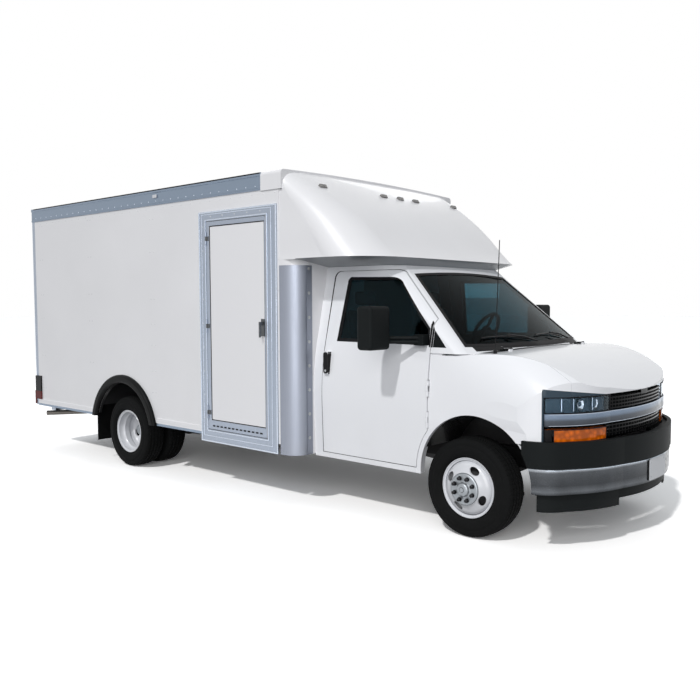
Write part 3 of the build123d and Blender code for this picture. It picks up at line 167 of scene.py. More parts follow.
def mixed(tree, share, first, second):
    """A colour that goes from the first to the second as the share goes from 0 to 1."""
    return put(tree, "Mix", {"Factor": share, 6: first, 7: second}, data_type="RGBA")[2]


def scaled(tree, colour, share):
    """A colour made darker or lighter."""
    return put(tree, "VectorMath", {0: colour, "Scale": share}, operation="SCALE")[0]


def from_axle(tree, centre):
    """The coordinates from a centre, and the distance from the axle line through it."""
    moved = put(tree, "VectorMath", {0: place(tree), 1: centre}, operation="SUBTRACT")[0]
    split = put(tree, "SeparateXYZ", {0: moved})
    flat = put(tree, "CombineXYZ", {"X": split["X"], "Z": split["Z"]})[0]
    return split, put(tree, "VectorMath", {0: flat}, operation="LENGTH")["Value"]


def new_group(name, inputs, outputs):
    """A group's tree, the sockets of its input node, and its output node."""
    tree = bpy.data.node_groups.new(name, "ShaderNodeTree")
    for label, kind, value in inputs:
        socket = tree.interface.new_socket(name=label, in_out="INPUT", socket_type=kind)
        socket.default_value = value
    for label, kind in outputs:
        tree.interface.new_socket(name=label, in_out="OUTPUT", socket_type=kind)
    return tree, tree.nodes.new("NodeGroupInput").outputs, tree.nodes.new("NodeGroupOutput")


def grain_group():
    """Fine moulded or cast grain, as a normal and a mask."""
    tree, source, result = new_group(
        "Fine grain", [("Scale", FLOAT, 400.0), ("Depth", FLOAT, 0.2), ("Height", FLOAT, 0.0005)],
        [("Normal", VECTOR), ("Mask", FLOAT)])
    noise = put(tree, "TexNoise", {"Vector": place(tree), "Scale": source["Scale"],
                                   "Detail": 4.0, "Roughness": 0.6})["Fac"]
    feed(tree, result, {"Normal": bumped(tree, noise, source["Depth"], source["Height"]), "Mask": noise})
    return tree


def drawn_group():
    """Lines left by drawing or rolling, stretched along one axis."""
    tree, source, result = new_group(
        "Drawn lines",
        [("Stretch", VECTOR, (1.0, 60.0, 60.0)), ("Low", FLOAT, 0.25), ("High", FLOAT, 0.45),
         ("Depth", FLOAT, 0.15)],
        [("Roughness", FLOAT), ("Normal", VECTOR), ("Mask", FLOAT)])
    drawn = put(tree, "VectorMath", {0: place(tree), 1: source["Stretch"]}, operation="MULTIPLY")[0]
    noise = put(tree, "TexNoise", {"Vector": drawn, "Scale": 4.0, "Detail": 6.0, "Roughness": 0.65})["Fac"]
    feed(tree, result, {
        "Roughness": ranged(tree, noise, 0.3, 0.7, source["Low"], source["High"]),
        "Normal": bumped(tree, noise, source["Depth"], 0.0004), "Mask": noise})
    return tree


def film_group():
    """Road dust that thins with height, over any colour."""
    tree, source, result = new_group(
        "Road film",
        [("Colour", COLOUR, (0.8, 0.8, 0.8, 1.0)), ("Dust", COLOUR, (0.30, 0.28, 0.25, 1.0)),
         ("Reach", FLOAT, 0.9), ("Amount", FLOAT, 0.3), ("Scale", FLOAT, 3.0)],
        [("Colour", COLOUR), ("Mask", FLOAT)])
    where = place(tree)
    height = put(tree, "SeparateXYZ", {0: where})["Z"]
    low = ranged(tree, height, 0.15, source["Reach"], 1.0, 0.0, "SMOOTHSTEP")
    noise = put(tree, "TexNoise", {"Vector": where, "Scale": source["Scale"],
                                   "Detail": 8.0, "Roughness": 0.7})["Fac"]
    broken = maths(tree, "MULTIPLY", low, ranged(tree, noise, 0.35, 0.75))
    share = maths(tree, "MULTIPLY", broken, source["Amount"])
    feed(tree, result, {"Colour": mixed(tree, share, source["Colour"], source["Dust"]), "Mask": share})
    return tree


def shade_group():
    """Slow uneven shade over a panel, with a faint ripple in its surface."""
    tree, source, result = new_group(
        "Panel shade",
        [("Colour", COLOUR, (0.8, 0.8, 0.8, 1.0)), ("Amount", FLOAT, 0.06), ("Scale", FLOAT, 1.2),
         ("Ripple", FLOAT, 0.04)],
        [("Colour", COLOUR), ("Normal", VECTOR), ("Mask", FLOAT)])
    noise = put(tree, "TexNoise", {"Vector": place(tree), "Scale": source["Scale"], "Detail": 3.0})["Fac"]
    darkest = maths(tree, "SUBTRACT", 1.0, source["Amount"])
    shade = ranged(tree, noise, 0.3, 0.7, darkest, 1.0)
    feed(tree, result, {"Colour": scaled(tree, source["Colour"], shade),
                        "Normal": bumped(tree, noise, source["Ripple"], 0.01), "Mask": noise})
    return tree


GROUP_MAKERS = {"grain": grain_group, "drawn": drawn_group, "film": film_group, "shade": shade_group}
GROUPS = {}


def use(tree, name, inputs):
    """Place a shader group in a material with its own values, and return its outputs."""
    if name not in GROUPS:
        GROUPS[name] = GROUP_MAKERS[name]()
    node = tree.nodes.new("ShaderNodeGroup")
    node.node_tree = GROUPS[name]
    feed(tree, node, inputs)
    return node.outputs


def rgba(colour):
    return (*colour, 1.0)


def material(name, colour, roughness, plain=None):
    """A material, its node tree and its shader, with plain values on the shader's own sockets."""
    mat = bpy.data.materials.new(name)
    mat.use_nodes = True
    tree = mat.node_tree
    shader = tree.nodes["Principled BSDF"]
    feed(tree, shader, {"Base Color": rgba(colour), "Roughness": roughness, "Coat Roughness": 0.05})
    feed(tree, shader, plain or {})
    return mat, tree, shader


# ------------------------------------------------------------------ finishes
def panel_finish(name, colour, roughness, coat, shade, film, film_reach=0.9):
    """Painted or gel-coated panel with slow shade and road film."""
    mat, tree, shader = material(name, colour, roughness, {"Coat Weight": coat})
    slow = use(tree, "shade", {"Colour": rgba(colour), "Amount": shade, "Scale": 1.1, "Ripple": 0.03})
    dust = use(tree, "film", {"Colour": slow["Colour"], "Amount": film, "Reach": film_reach})
    feed(tree, shader, {"Base Color": dust["Colour"], "Normal": slow["Normal"],
                        "Roughness": ranged(tree, dust["Mask"], to_low=roughness, to_high=0.75)})
    return mat


def metal_finish(name, colour, low, high, stretch, depth=0.12, film=0.0):
    """Drawn or rolled bare metal, between two roughnesses."""
    mat, tree, shader = material(name, colour, low)
    lines = use(tree, "drawn", {"Stretch": stretch, "Low": low, "High": high, "Depth": depth})
    dust = use(tree, "film", {"Colour": rgba(colour), "Amount": film})
    feed(tree, shader, {"Base Color": dust["Colour"], "Metallic": maths(tree, "SUBTRACT", 1.0, dust["Mask"]),
                        "Roughness": lines["Roughness"], "Normal": lines["Normal"]})
    return mat


def moulded_finish(name, colour, roughness, scale=350.0, depth=0.25, film=0.0, metallic=0.0, shine=0.12):
    """Grained plastic, rubber or casting."""
    mat, tree, shader = material(name, colour, roughness, {"Metallic": metallic, "Specular IOR Level": shine})
    grain = use(tree, "grain", {"Scale": scale, "Depth": depth})
    dust = use(tree, "film", {"Colour": rgba(colour), "Amount": film, "Dust": (0.16, 0.15, 0.14, 1.0)})
    feed(tree, shader, {"Base Color": dust["Colour"], "Normal": grain["Normal"],
                        "Roughness": ranged(tree, grain["Mask"], to_low=roughness - 0.08,
                                            to_high=roughness + 0.1)})
    return mat


def glass_finish(name, colour, ior):
    """Clear or tinted glass."""
    return material(name, colour, 0.0, {"Transmission Weight": 1.0, "IOR": ior,
                                        "Specular Tint": (0.5, 0.85, 1.0, 1.0)})[0]


TREAD_BLOCKS = 64.0
TREAD_FROM = 0.352
WALL_RINGS = 900.0


def tyre_finish(name, centre):
    """Tyre rubber with cross grooves in the tread and fine rings on the wall."""
    mat, tree, shader = material(name, colours().rubber, 0.78, {"Specular IOR Level": 0.06})
    split, reach = from_axle(tree, centre)
    turn = maths(tree, "ARCTAN2", split["Z"], split["X"])
    blocks = maths(tree, "PINGPONG", maths(tree, "MULTIPLY", turn, TREAD_BLOCKS / math.pi), 1.0)
    groove = ranged(tree, blocks, 0.12, 0.3, kind="SMOOTHSTEP")
    ripple = maths(tree, "SINE", maths(tree, "MULTIPLY", reach, WALL_RINGS))
    height = put(tree, "Mix", {"Factor": maths(tree, "GREATER_THAN", reach, TREAD_FROM),
                               2: maths(tree, "MULTIPLY", ripple, 0.05), 3: groove}, data_type="FLOAT")[0]
    dust = use(tree, "film", {"Colour": rgba(colours().rubber), "Dust": (0.12, 0.11, 0.10, 1.0),
                              "Amount": 0.025, "Reach": 0.8, "Scale": 9.0})
    feed(tree, shader, {"Base Color": dust["Colour"], "Normal": bumped(tree, height, 0.9, 0.006)})
    return mat


def banded_finish(name, low, high, inside, outside, axis="Z", shine=0.5):
    """One finish between two heights of an axis and another beyond them: (colour, metal, roughness)."""
    mat, tree, shader = material(name, outside[0], outside[2], {"Specular IOR Level": shine})
    spot = along(tree, axis)
    mask = maths(tree, "MULTIPLY", maths(tree, "GREATER_THAN", spot, low),
                 maths(tree, "LESS_THAN", spot, high))
    feed(tree, shader, {
        "Base Color": mixed(tree, mask, rgba(outside[0]), rgba(inside[0])),
        "Metallic": ranged(tree, mask, to_low=outside[1], to_high=inside[1]),
        "Roughness": ranged(tree, mask, to_low=outside[2], to_high=inside[2]),
        "Normal": use(tree, "grain", {"Scale": 300.0, "Depth": 0.15})["Normal"]})
    return mat


def layered_finish(name, low, high, steps, rough, cloudy=0.3):
    """Bright plate whose tone changes with height as painted reflection, with lighter bands as painted
    highlight, in steps of (share of the height, colour).
    """
    mat, tree, shader = material(name, steps[0][1], rough[0], {"Metallic": 1.0})
    ramp = tree.nodes.new("ShaderNodeValToRGB")
    feed(tree, ramp, {"Fac": ranged(tree, along(tree, "Z"), low, high)})
    stops = ramp.color_ramp.elements
    for index, (spot, colour) in enumerate(steps):
        stop = stops[index] if index < 2 else stops.new(spot)
        stop.position = spot
        stop.color = rgba(colour)
    cloud = use(tree, "shade", {"Colour": ramp.outputs["Color"], "Amount": cloudy, "Scale": 5.0,
                                "Ripple": 0.05})
    brushed = use(tree, "drawn", {"Stretch": (3.0, 3.0, 9.0), "Low": rough[0], "High": rough[1],
                                  "Depth": 0.04})
    feed(tree, shader, {"Base Color": cloud["Colour"], "Normal": cloud["Normal"],
                        "Roughness": brushed["Roughness"]})
    return mat


PLANK_WIDE = 0.14


def plank_finish(name):
    """Oiled floor planks that run along the box."""
    mat, tree, shader = material(name, (0.30, 0.20, 0.12), 0.6)
    where = place(tree)
    along = put(tree, "VectorMath", {0: where, 1: (0.8, 14.0, 14.0)}, operation="MULTIPLY")[0]
    noise = put(tree, "TexNoise", {"Vector": along, "Scale": 3.0, "Detail": 8.0, "Distortion": 0.6})["Fac"]
    tint = mixed(tree, noise, (0.20, 0.125, 0.07, 1.0), (0.40, 0.28, 0.17, 1.0))
    across = maths(tree, "MULTIPLY", put(tree, "SeparateXYZ", {0: where})["Y"], 1.0 / PLANK_WIDE)
    seam = ranged(tree, maths(tree, "PINGPONG", across, 0.5), 0.0, 0.03)
    feed(tree, shader, {"Base Color": scaled(tree, tint, seam), "Normal": bumped(tree, seam, 0.5, 0.003)})
    return mat


def woven_finish(name, colour):
    """Flat woven seat cloth."""
    mat, tree, shader = material(name, colour, 0.9, {"Sheen Weight": 0.25})
    where = place(tree)
    warp, weft = [put(tree, "TexWave", {"Vector": where, "Scale": 180.0}, bands_direction=axis)["Fac"]
                  for axis in "ZY"]
    slow = use(tree, "shade", {"Colour": rgba(colour), "Amount": 0.3, "Scale": 30.0})
    feed(tree, shader, {"Base Color": slow["Colour"],
                        "Normal": bumped(tree, maths(tree, "MULTIPLY", warp, weft), 0.4, 0.0012)})
    return mat


def lamp_finish(name, colour):
    """Coloured lens with moulded prisms behind a clear skin."""
    mat, tree, shader = material(name, colour, 0.15, {"Coat Weight": 0.1, "Specular IOR Level": 0.2})
    cells = put(tree, "TexVoronoi", {"Vector": place(tree), "Scale": 30.0})["Distance"]
    shade = ranged(tree, cells, 0.0, 0.7, 1.15, 0.55)
    feed(tree, shader, {"Base Color": scaled(tree, colour, shade),
                        "Normal": bumped(tree, cells, 0.35, 0.003)})
    return mat


def repainted(name, outside, colour, mask, *values):
    """A copy of a finish with another colour where a mask is 1."""
    mat = outside.copy()
    mat.name = name
    tree = mat.node_tree
    shader = tree.nodes["Principled BSDF"]
    first = shader.inputs["Base Color"].links[0].from_socket
    feed(tree, shader, {"Base Color": mixed(tree, mask(tree, *values), first, rgba(colour))})
    return mat


def arch_mask(tree, centre, radius, half):
    """1 near a line across the vehicle at (x, z) millimetres, and within half metres of its middle."""
    split, reach = from_axle(tree, at(centre[0], 0.0, centre[1]))
    inner = maths(tree, "LESS_THAN", maths(tree, "ABSOLUTE", split["Y"]), half)
    return maths(tree, "MULTIPLY", maths(tree, "LESS_THAN", reach, radius), inner)


def under_mask(tree, limit):
    """1 where the normal's height is under a limit."""
    normal = put(tree, "TexCoord", {})["Normal"]
    return maths(tree, "LESS_THAN", put(tree, "SeparateXYZ", {0: normal})["Z"], limit)


def lining_mask(tree, middle, ahead):
    """1 on faces that look to the middle of the cab and lie behind a line across it."""
    where = put(tree, "TexCoord", {})
    heart = put(tree, "VectorMath", {0: middle, 1: where["Object"]}, operation="SUBTRACT")[0]
    facing = put(tree, "VectorMath", {0: heart, 1: where["Normal"]}, operation="DOT_PRODUCT")["Value"]
    spot = put(tree, "SeparateXYZ", {0: where["Object"]})["X"]
    return maths(tree, "MULTIPLY", maths(tree, "GREATER_THAN", facing, 0.12),
                 maths(tree, "LESS_THAN", spot, ahead))


FINISHES = {}
UPRIGHT = (30.0, 30.0, 0.6)
EVEN = (1.0, 1.0, 1.0)
BARE = (0.45, 0.46, 0.47)
SHADOW = (0.004, 0.0042, 0.0045)
TINT = (0.085, 0.175, 0.205)
LINER = (0.008, 0.008, 0.009)
# Painted reflection on the bumper's face: levels of its colour by share of its height, with a painted
# highlight along the top edge.
BUMPER_REFLECTION_STEPS = ((0.0, 0.3), (0.12, 0.75), (0.35, 0.36), (0.62, 0.45), (0.86, 0.62), (0.95, 2.4))
# Painted reflection on the face bar: dark at its foot, bluish and lighter towards its top; near black on the
# mesh below and above it.
GRILLE_REFLECTION_STEPS = (
    (0.0, SHADOW), (0.140, SHADOW), (0.152, (0.05, 0.055, 0.065)), (0.45, (0.075, 0.085, 0.10)),
    (0.60, (0.15, 0.19, 0.25)), (0.83, (0.19, 0.24, 0.32)), (0.845, SHADOW),
)


def make_finishes():
    """Every finish but the tyres', by its short name."""
    c = colours()
    film = sizes().film
    f = FINISHES
    plate = [(share, [level * part for part in c.bumper]) for share, level in BUMPER_REFLECTION_STEPS]
    panel = (c.panel, 0.0, 0.35)
    f["body"] = panel_finish("Body paint", c.body, 0.24, 0.35, 0.03, film * 0.8)
    f["panel"] = panel_finish("Gel coat", c.panel, 0.34, 0.25, 0.05, film)
    f["post"] = metal_finish("Post sheet", (0.27, 0.29, 0.34), 0.36, 0.54, UPRIGHT, film=film)
    # Painted highlight: a lighter copy of the frame's aluminium, for the rims of the door frame and the rail
    # rivets.
    f["lip"] = metal_finish("Lit aluminium, painted highlight", (0.55, 0.60, 0.68), 0.16, 0.3, UPRIGHT, film=film)
    f["rail_z"] = metal_finish("Rolled post", c.rail, 0.26, 0.44, UPRIGHT, film=film)
    f["trim"] = moulded_finish("Black moulding", c.trim, 0.55, film=film * 0.1, shine=0.08)
    f["smooth_trim"] = moulded_finish("Smooth black", (0.008, 0.008, 0.009), 0.3, 200.0, 0.03)
    f["rubber"] = moulded_finish("Flare rubber", c.rubber, 0.4, 250.0, 0.12, film=film * 0.08, shine=0.07)
    f["seal"] = moulded_finish("Window seal", (0.005, 0.005, 0.006), 0.5, 500.0, 0.1)
    # Painted reflection: the bumper's colour in levels by height.
    f["bumper"] = layered_finish("Bumper plate with painted reflection", 0.415, 0.587, plate, (0.16, 0.34))
    # The face bar's bands by height are painted reflection.
    f["grille"] = layered_finish("Face bar with painted reflection, and mesh", 0.850, 0.970, GRILLE_REFLECTION_STEPS, (0.14, 0.3), 0.12)
    f["bright"] = metal_finish("Bright edge", (0.52, 0.58, 0.66), 0.12, 0.2, (3.0, 3.0, 3.0), 0.02)
    f["chassis"] = moulded_finish("Chassis paint", (0.010, 0.010, 0.011), 0.6, 60.0, 0.4, film=film * 0.5)
    f["casting"] = moulded_finish("Casting", (0.06, 0.06, 0.063), 0.55, 90.0, 0.5, film=film, metallic=0.7)
    f["exhaust"] = metal_finish("Tail pipe", (0.13, 0.12, 0.11), 0.35, 0.6, (6.0, 6.0, 6.0), 0.3, film=film)
    f["wheel"] = panel_finish("Wheel paint", (0.63, 0.64, 0.67), 0.28, 0.4, 0.05, 0.12, 0.7)
    f["hub"] = moulded_finish("Hub cover", (0.30, 0.32, 0.34), 0.38, 120.0, 0.15, metallic=0.85)
    f["nut"] = moulded_finish("Wheel nut", (0.02, 0.02, 0.022), 0.35, 200.0, 0.1, metallic=0.6)
    f["glass"] = glass_finish("Tinted glass", TINT, 1.07)
    f["side_glass"] = glass_finish("Door glass", TINT, 1.19)
    f["lens"] = glass_finish("Lamp lens", (0.80, 0.86, 0.92), 1.22)
    f["interior"] = moulded_finish("Cabin plastic", (0.035, 0.037, 0.040), 0.6, 300.0, 0.4)
    f["mat"] = moulded_finish("Cabin mat", (0.02, 0.02, 0.022), 0.8, 120.0, 0.6)
    f["cloth"] = woven_finish("Seat cloth", (0.055, 0.058, 0.066))
    f["planks"] = plank_finish("Floor planks")
    f["reflector"] = metal_finish("Reflector", (0.80, 0.82, 0.85), 0.05, 0.12, EVEN, 0.0)
    f["lamp_back"] = moulded_finish("Lamp housing", (0.055, 0.080, 0.105), 0.3, 80.0, 0.05)
    f["brow"] = moulded_finish("Lamp brow", (0.040, 0.060, 0.080), 0.22, 80.0, 0.03)
    f["mirror"] = metal_finish("Mirror glass", (0.75, 0.78, 0.8), 0.02, 0.05, EVEN, 0.0)
    f["plate"] = panel_finish("Blank plate", (0.62, 0.63, 0.66), 0.4, 0.1, 0.04, 0.1)
    f["amber"] = lamp_finish("Amber lens", c.amber)
    f["marker"] = lamp_finish("Marker lens", (0.30, 0.29, 0.28))
    f["zinc"] = moulded_finish("Zinc plate", BARE, 0.4, 60.0, 0.15, metallic=0.9)
    f["rivet"] = moulded_finish("Rivet", (0.60, 0.60, 0.62), 0.4, 60.0, 0.05, metallic=0.3)
    f["rails"] = banded_finish("Rails and skirt", 0.512, 0.60, panel, ((0.22, 0.27, 0.34), 1.0, 0.36))
    f["rear_leaf"] = banded_finish("Rear door", -3.4427, 10.0, panel, (BARE, 0.9, 0.4), "X")
    f["side_leaf"] = banded_finish("Side door", -1.2021, 10.0, panel, ((0.10, 0.105, 0.11), 0.9, 0.35), "Y")
    f["tail"] = banded_finish("Tail lamp", 0.50, 0.655, ((0.10, 0.003, 0.003), 0.0, 0.15),
                              ((0.004, 0.004, 0.005), 0.0, 0.2), shine=0.1)
    f["wing"] = repainted("Wing paint and liner", f["body"], LINER, arch_mask, (70.0, 435.0), 0.4765, 0.955)
    f["hood"] = repainted("Hood paint and hinges", f["body"], LINER, arch_mask, (122.0, 1350.0), 0.019, 0.70)
    f["wall"] = repainted("Gel coat and arch edge", f["panel"], LINER, arch_mask,
                          (-WHEELBASE, AXLE_Z), 0.512, 1.192)
    # Painted shade: faces of the cap that look down, its soffit, take a dark grey in place of the gel coat.
    f["cap"] = repainted("Cap coat and painted soffit shade", f["panel"], (0.20, 0.215, 0.23), under_mask, -0.6)
    # Faces of the floor that look less than half upward, its underside and edges, turn near black.
    f["floor"] = repainted("Planks and near-black underside", f["planks"], (0.006, 0.006, 0.007), under_mask, 0.5)
    f["cab"] = repainted("Cab paint and lining", f["body"], (0.05, 0.052, 0.056), lining_mask,
                         at(-750.0, 0.0, 1350.0), AXLE_X - 0.11)


NODE_FINISH = {
    "chassis_frame": "chassis", "engine": "casting", "front_suspension": "chassis",
    "rear_axle": "chassis", "fuel_tank": "trim", "exhaust": "exhaust", "cab_floor": "mat",
    "cab_shell": "cab", "hood": "hood", "windshield": "glass", "dashboard": "interior",
    "seats": "cloth", "cowl_panel": "trim", "grille": "grille", "headlamps": "lens",
    "turn_signals": "amber", "bumper_front": "bumper", "bumper_pad": "trim",
    "antenna": "smooth_trim", "box_floor": "floor", "box_roof": "panel", "box_rails": "rails",
    "corner_posts": "post", "front_wall": "panel", "front_cap": "cap", "side_door_frame": "rail_z",
    "side_door": "side_leaf", "rear_frame": "rail_z", "wheel_flares": "rubber",
    "tail_lamps": "tail", "marker_lamps": "marker",
}
PAIR_FINISH = {
    "wing": "wing", "box_wall": "wall", "rear_door": "rear_leaf", "cab_door": "cab",
    "door_glass": "side_glass", "mirror": "trim", "knuckle": "casting", "rim_front": "wheel",
    "tyre_front": "rubber", "rims_rear": "wheel", "tyres_rear": "rubber",
}


class TRUCK_OT_finishes(bpy.types.Operator):
    """Gives every solid its finish"""
    bl_idname = "truck.finishes"
    bl_label = "Finishes"

    def execute(self, context):
        make_finishes()
        finish = dict(NODE_FINISH)
        for pair, name in PAIR_FINISH.items():
            for label, side in SIDES:
                finish[f"{pair}_{label}"] = name
        for node, name in finish.items():
            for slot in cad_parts[node].material_slots:
                slot.material = FINISHES[name]
        return {"FINISHED"}


# ------------------------------------------------------------------ mesh helpers
MERGE = 0.00002
PATCH_LIFT = 0.0004


def clean(bm):
    """Merge a mesh's doubles and turn its faces outwards."""
    bmesh.ops.remove_doubles(bm, verts=bm.verts, dist=MERGE)
    bmesh.ops.recalc_face_normals(bm, faces=bm.faces)


def piece(name, bm, finish, body, smooth=30.0, bevel=0.0):
    """Turn a bmesh into an object that rides on a body."""
    if not bm.faces:
        raise ValueError(f"{name} has no faces")
    clean(bm)
    mesh = bpy.data.meshes.new(name)
    bm.to_mesh(mesh)
    bm.free()
    return from_mesh(name, mesh, finish, body, smooth, bevel)


def from_mesh(name, mesh, finish, body, smooth, bevel=0.0):
    """The same for a mesh that is already made."""
    mesh.materials.clear()
    mesh.materials.append(FINISHES[finish])
    obj = bpy.data.objects.new(name, mesh)
    bpy.context.scene.collection.objects.link(obj)
    if smooth:
        mesh.shade_smooth()
        mesh.set_sharp_from_angle(angle=math.radians(smooth))
    if bevel:
        mod = obj.modifiers.new("Edges", "BEVEL")
        mod.width = bevel
        mod.segments = 2
        mod.limit_method = "ANGLE"
        mod.angle_limit = math.radians(40.0)
    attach(obj, body)
    return obj


def evaluated_mesh(obj):
    """A new mesh of an object as its modifiers leave it."""
    view = bpy.context.evaluated_depsgraph_get()
    view.update()
    return bpy.data.meshes.new_from_object(obj.evaluated_get(view))


def add_box(bm, low, high):
    """A box between two corners."""
    matrix = Matrix.Translation((low + high) / 2) @ Matrix.Diagonal((*(high - low), 1.0))
    bmesh.ops.create_cube(bm, size=1.0, matrix=matrix)


def add_rod(bm, start, end, radius, segments, end_radius=None):
    """A round rod, or a cone where the end has its own radius."""
    run = end - start
    turn = run.to_track_quat("Z", "Y").to_matrix().to_4x4()
    bmesh.ops.create_cone(
        bm, cap_ends=True, segments=segments, radius1=radius, depth=run.length,
        radius2=radius if end_radius is None else end_radius,
        matrix=Matrix.Translation((start + end) / 2) @ turn)


def add_dome(bm, centre, normal, radius, rise):
    """A low rivet head."""
    add_rod(bm, centre, centre + normal * rise, radius, 8, radius * 0.45)


def add_path(bm, points, radius):
    """A round rod along a run of points."""
    for start, end in zip(points, points[1:]):
        add_rod(bm, start, end, radius, 8)
        bmesh.ops.create_icosphere(bm, subdivisions=1, radius=radius, matrix=Matrix.Translation(end))


def add_loop(bm, points):
    """The vertices and edges of a closed loop."""
    verts = [bm.verts.new(point) for point in points]
    return verts, [bm.edges.new(pair) for pair in zip(verts, verts[1:] + verts[:1])]


def add_spin(bm, points, centre, axis, steps):
    """Spin a closed loop all the way round an axis."""
    verts, edges = add_loop(bm, points)
    bmesh.ops.spin(bm, geom=verts + edges, cent=centre, axis=axis, angle=math.tau, steps=steps,
                   use_merge=True, use_duplicate=False)


def rounded(bm, edges, offset, segments):
    """Round some edges of a mesh."""
    bmesh.ops.bevel(bm, geom=edges, offset=offset, segments=segments, profile=0.5, affect="EDGES",
                    material=-1)


def edges_along(bm, axis, longest):
    """The edges that run further than a length along an axis."""
    return [e for e in bm.edges if abs(e.verts[0].co[axis] - e.verts[1].co[axis]) > longest]


def drawn_out(bm, shift):
    """Extrude a flat mesh across the vehicle, by millimetres."""
    for item in bmesh.ops.extrude_face_region(bm, geom=bm.faces[:])["geom"]:
        if isinstance(item, bmesh.types.BMVert):
            item.co.y += shift / 1000.0


def carved(bm, cutter):
    """The mesh of bm with the cutter's solid taken out."""
    objects = []
    for label, source in (("carve_base", bm), ("carve_tool", cutter)):
        clean(source)
        mesh = bpy.data.meshes.new(label)
        source.to_mesh(mesh)
        source.free()
        obj = bpy.data.objects.new(label, mesh)
        bpy.context.scene.collection.objects.link(obj)
        objects.append(obj)
    mod = objects[0].modifiers.new("Carve", "BOOLEAN")
    mod.object = objects[1]
    mod.solver = "EXACT"
    mesh = evaluated_mesh(objects[0])
    for obj in objects:
        old = obj.data
        bpy.data.objects.remove(obj)
        bpy.data.meshes.remove(old)
    return mesh


def node_bmesh(node):
    """A merged copy of a CAD node's mesh."""
    bm = bmesh.new()
    bm.from_mesh(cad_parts[node].data)
    bmesh.ops.remove_doubles(bm, verts=bm.verts, dist=0.00005)
    bm.normal_update()
    return bm


def surface(node):
    """A ray tree of a CAD node's mesh."""
    bm = node_bmesh(node)
    tree = BVHTree.FromBMesh(bm)
    bm.free()
    return tree


def struck(tree, start, aim):
    """The point and normal where a ray first meets a surface."""
    spot, normal = tree.ray_cast(start, aim)[:2]
    if spot is None:
        raise ValueError(f"no surface from {tuple(start)}")
    return spot, normal


def face_at(tree, y, z):
    """Where the vehicle's face lies ahead of a point at y and z, in millimetres."""
    return struck(tree, at(1400.0, y, z), BACK)[0]


def laid_patch(tree, rows, side, thick):
    """A thin panel of (x, z) rows laid on a side of the vehicle."""
    bm = bmesh.new()
    face = bm.faces.new([bm.verts.new(at(x, 0.0, z)) for x, z in rows])
    bmesh.ops.triangulate(bm, faces=[face])
    bmesh.ops.subdivide_edges(bm, edges=bm.edges[:], cuts=6, use_grid_fill=True)
    for vert in bm.verts:
        start = Vector((vert.co.x, side * 2.0, vert.co.z))
        vert.co.y = struck(tree, start, Vector((0.0, -side, 0.0)))[0].y + side * (PATCH_LIFT + thick)
    lower = bm.copy()
    for vert in lower.verts:
        vert.co.y -= side * thick
    made = joined((bm, lower))
    bmesh.ops.bridge_loops(made, edges=[e for e in made.edges if e.is_boundary])
    return made


def frame_ring(outer, inner, y, thick, side):
    """A flat ring between two (x low, x high, z low, z high) rectangles, in millimetres."""
    bm = bmesh.new()
    loops = []
    for x_low, x_high, z_low, z_high in (outer, inner):
        corners = ((x_low, z_low), (x_high, z_low), (x_high, z_high), (x_low, z_high))
        loops += add_loop(bm, [at(x, side * y, z) for x, z in corners])[1]
    bmesh.ops.bridge_loops(bm, edges=loops)
    bmesh.ops.recalc_face_normals(bm, faces=bm.faces)
    drawn_out(bm, side * thick)
    return bm


def shrunk(ring, left, right, low, high):
    """A rectangle brought in at each of its edges."""
    return (ring[0] + left, ring[1] - right, ring[2] + low, ring[3] - high)


def joined(parts):
    """One mesh of several, which are freed."""
    bm = bmesh.new()
    for part in parts:
        mesh = bpy.data.meshes.new("layer")
        part.to_mesh(mesh)
        part.free()
        bm.from_mesh(mesh)
        bpy.data.meshes.remove(mesh)
    return bm


def keep_faces(bm, test):
    """Delete the faces that fail a test."""
    bmesh.ops.delete(bm, geom=[face for face in bm.faces if not test(face)], context="FACES")


def slice_off(bm, point, normal):
    """Cut a mesh by a plane and keep the side that the normal points to."""
    bmesh.ops.bisect_plane(bm, geom=bm.verts[:] + bm.edges[:] + bm.faces[:], dist=1e-6, plane_co=point,
                           plane_no=normal, clear_inner=True)


def thickened(bm, thickness):
    bmesh.ops.solidify(bm, geom=bm.faces[:], thickness=thickness)


# ------------------------------------------------------------------ tyres and wheels
FRONT_Y = 843.0
TWIN_Y = (786.0, 1050.0)
CROWN = 361.8
GROOVES = (57.0, 19.0)
TYRE_HALF = (
    (77.6, 204.0), (78.0, 221.0), (88.0, 226.0), (99.0, 236.0), (107.5, 250.0), (111.0, 268.0),
    (110.6, 284.0), (108.0, 300.0), (106.0, 303.0), (105.0, 310.0), (106.4, 314.0), (102.0, 330.0),
    (97.0, 342.0), (92.5, 350.0), (87.0, 354.5), (65.0, 358.4),
)
BARREL = (
    (-92.0, 219.0), (-84.0, 218.5), (-78.0, 214.0), (-77.0, 203.0), (-34.0, 199.0), (-20.0, 185.0),
    (20.0, 185.0), (34.0, 199.0), (77.0, 203.0), (78.0, 214.0), (84.0, 218.5), (90.0, 218.8),
    (92.0, 217.0), (91.0, 213.0), (86.0, 211.5), (83.0, 206.0), (82.0, 199.0), (60.0, 197.0),
    (34.0, 189.0), (24.0, 176.0), (-24.0, 176.0), (-34.0, 189.0), (-82.0, 198.0), (-92.0, 213.0),
)
DISH = (
    (0.0, 60.0), (0.0, 104.0), (-2.0, 114.0), (-9.0, 126.0), (-18.0, 142.0), (-25.0, 160.0),
    (-32.0, 176.0), (-44.0, 188.0), (-60.0, 195.0), (-82.0, 197.0), (-82.0, 188.0), (-64.0, 186.0),
    (-52.0, 179.0), (-42.0, 168.0), (-34.0, 152.0), (-26.0, 134.0), (-17.0, 118.0), (-10.0, 104.0),
    (-10.0, 60.0),
)
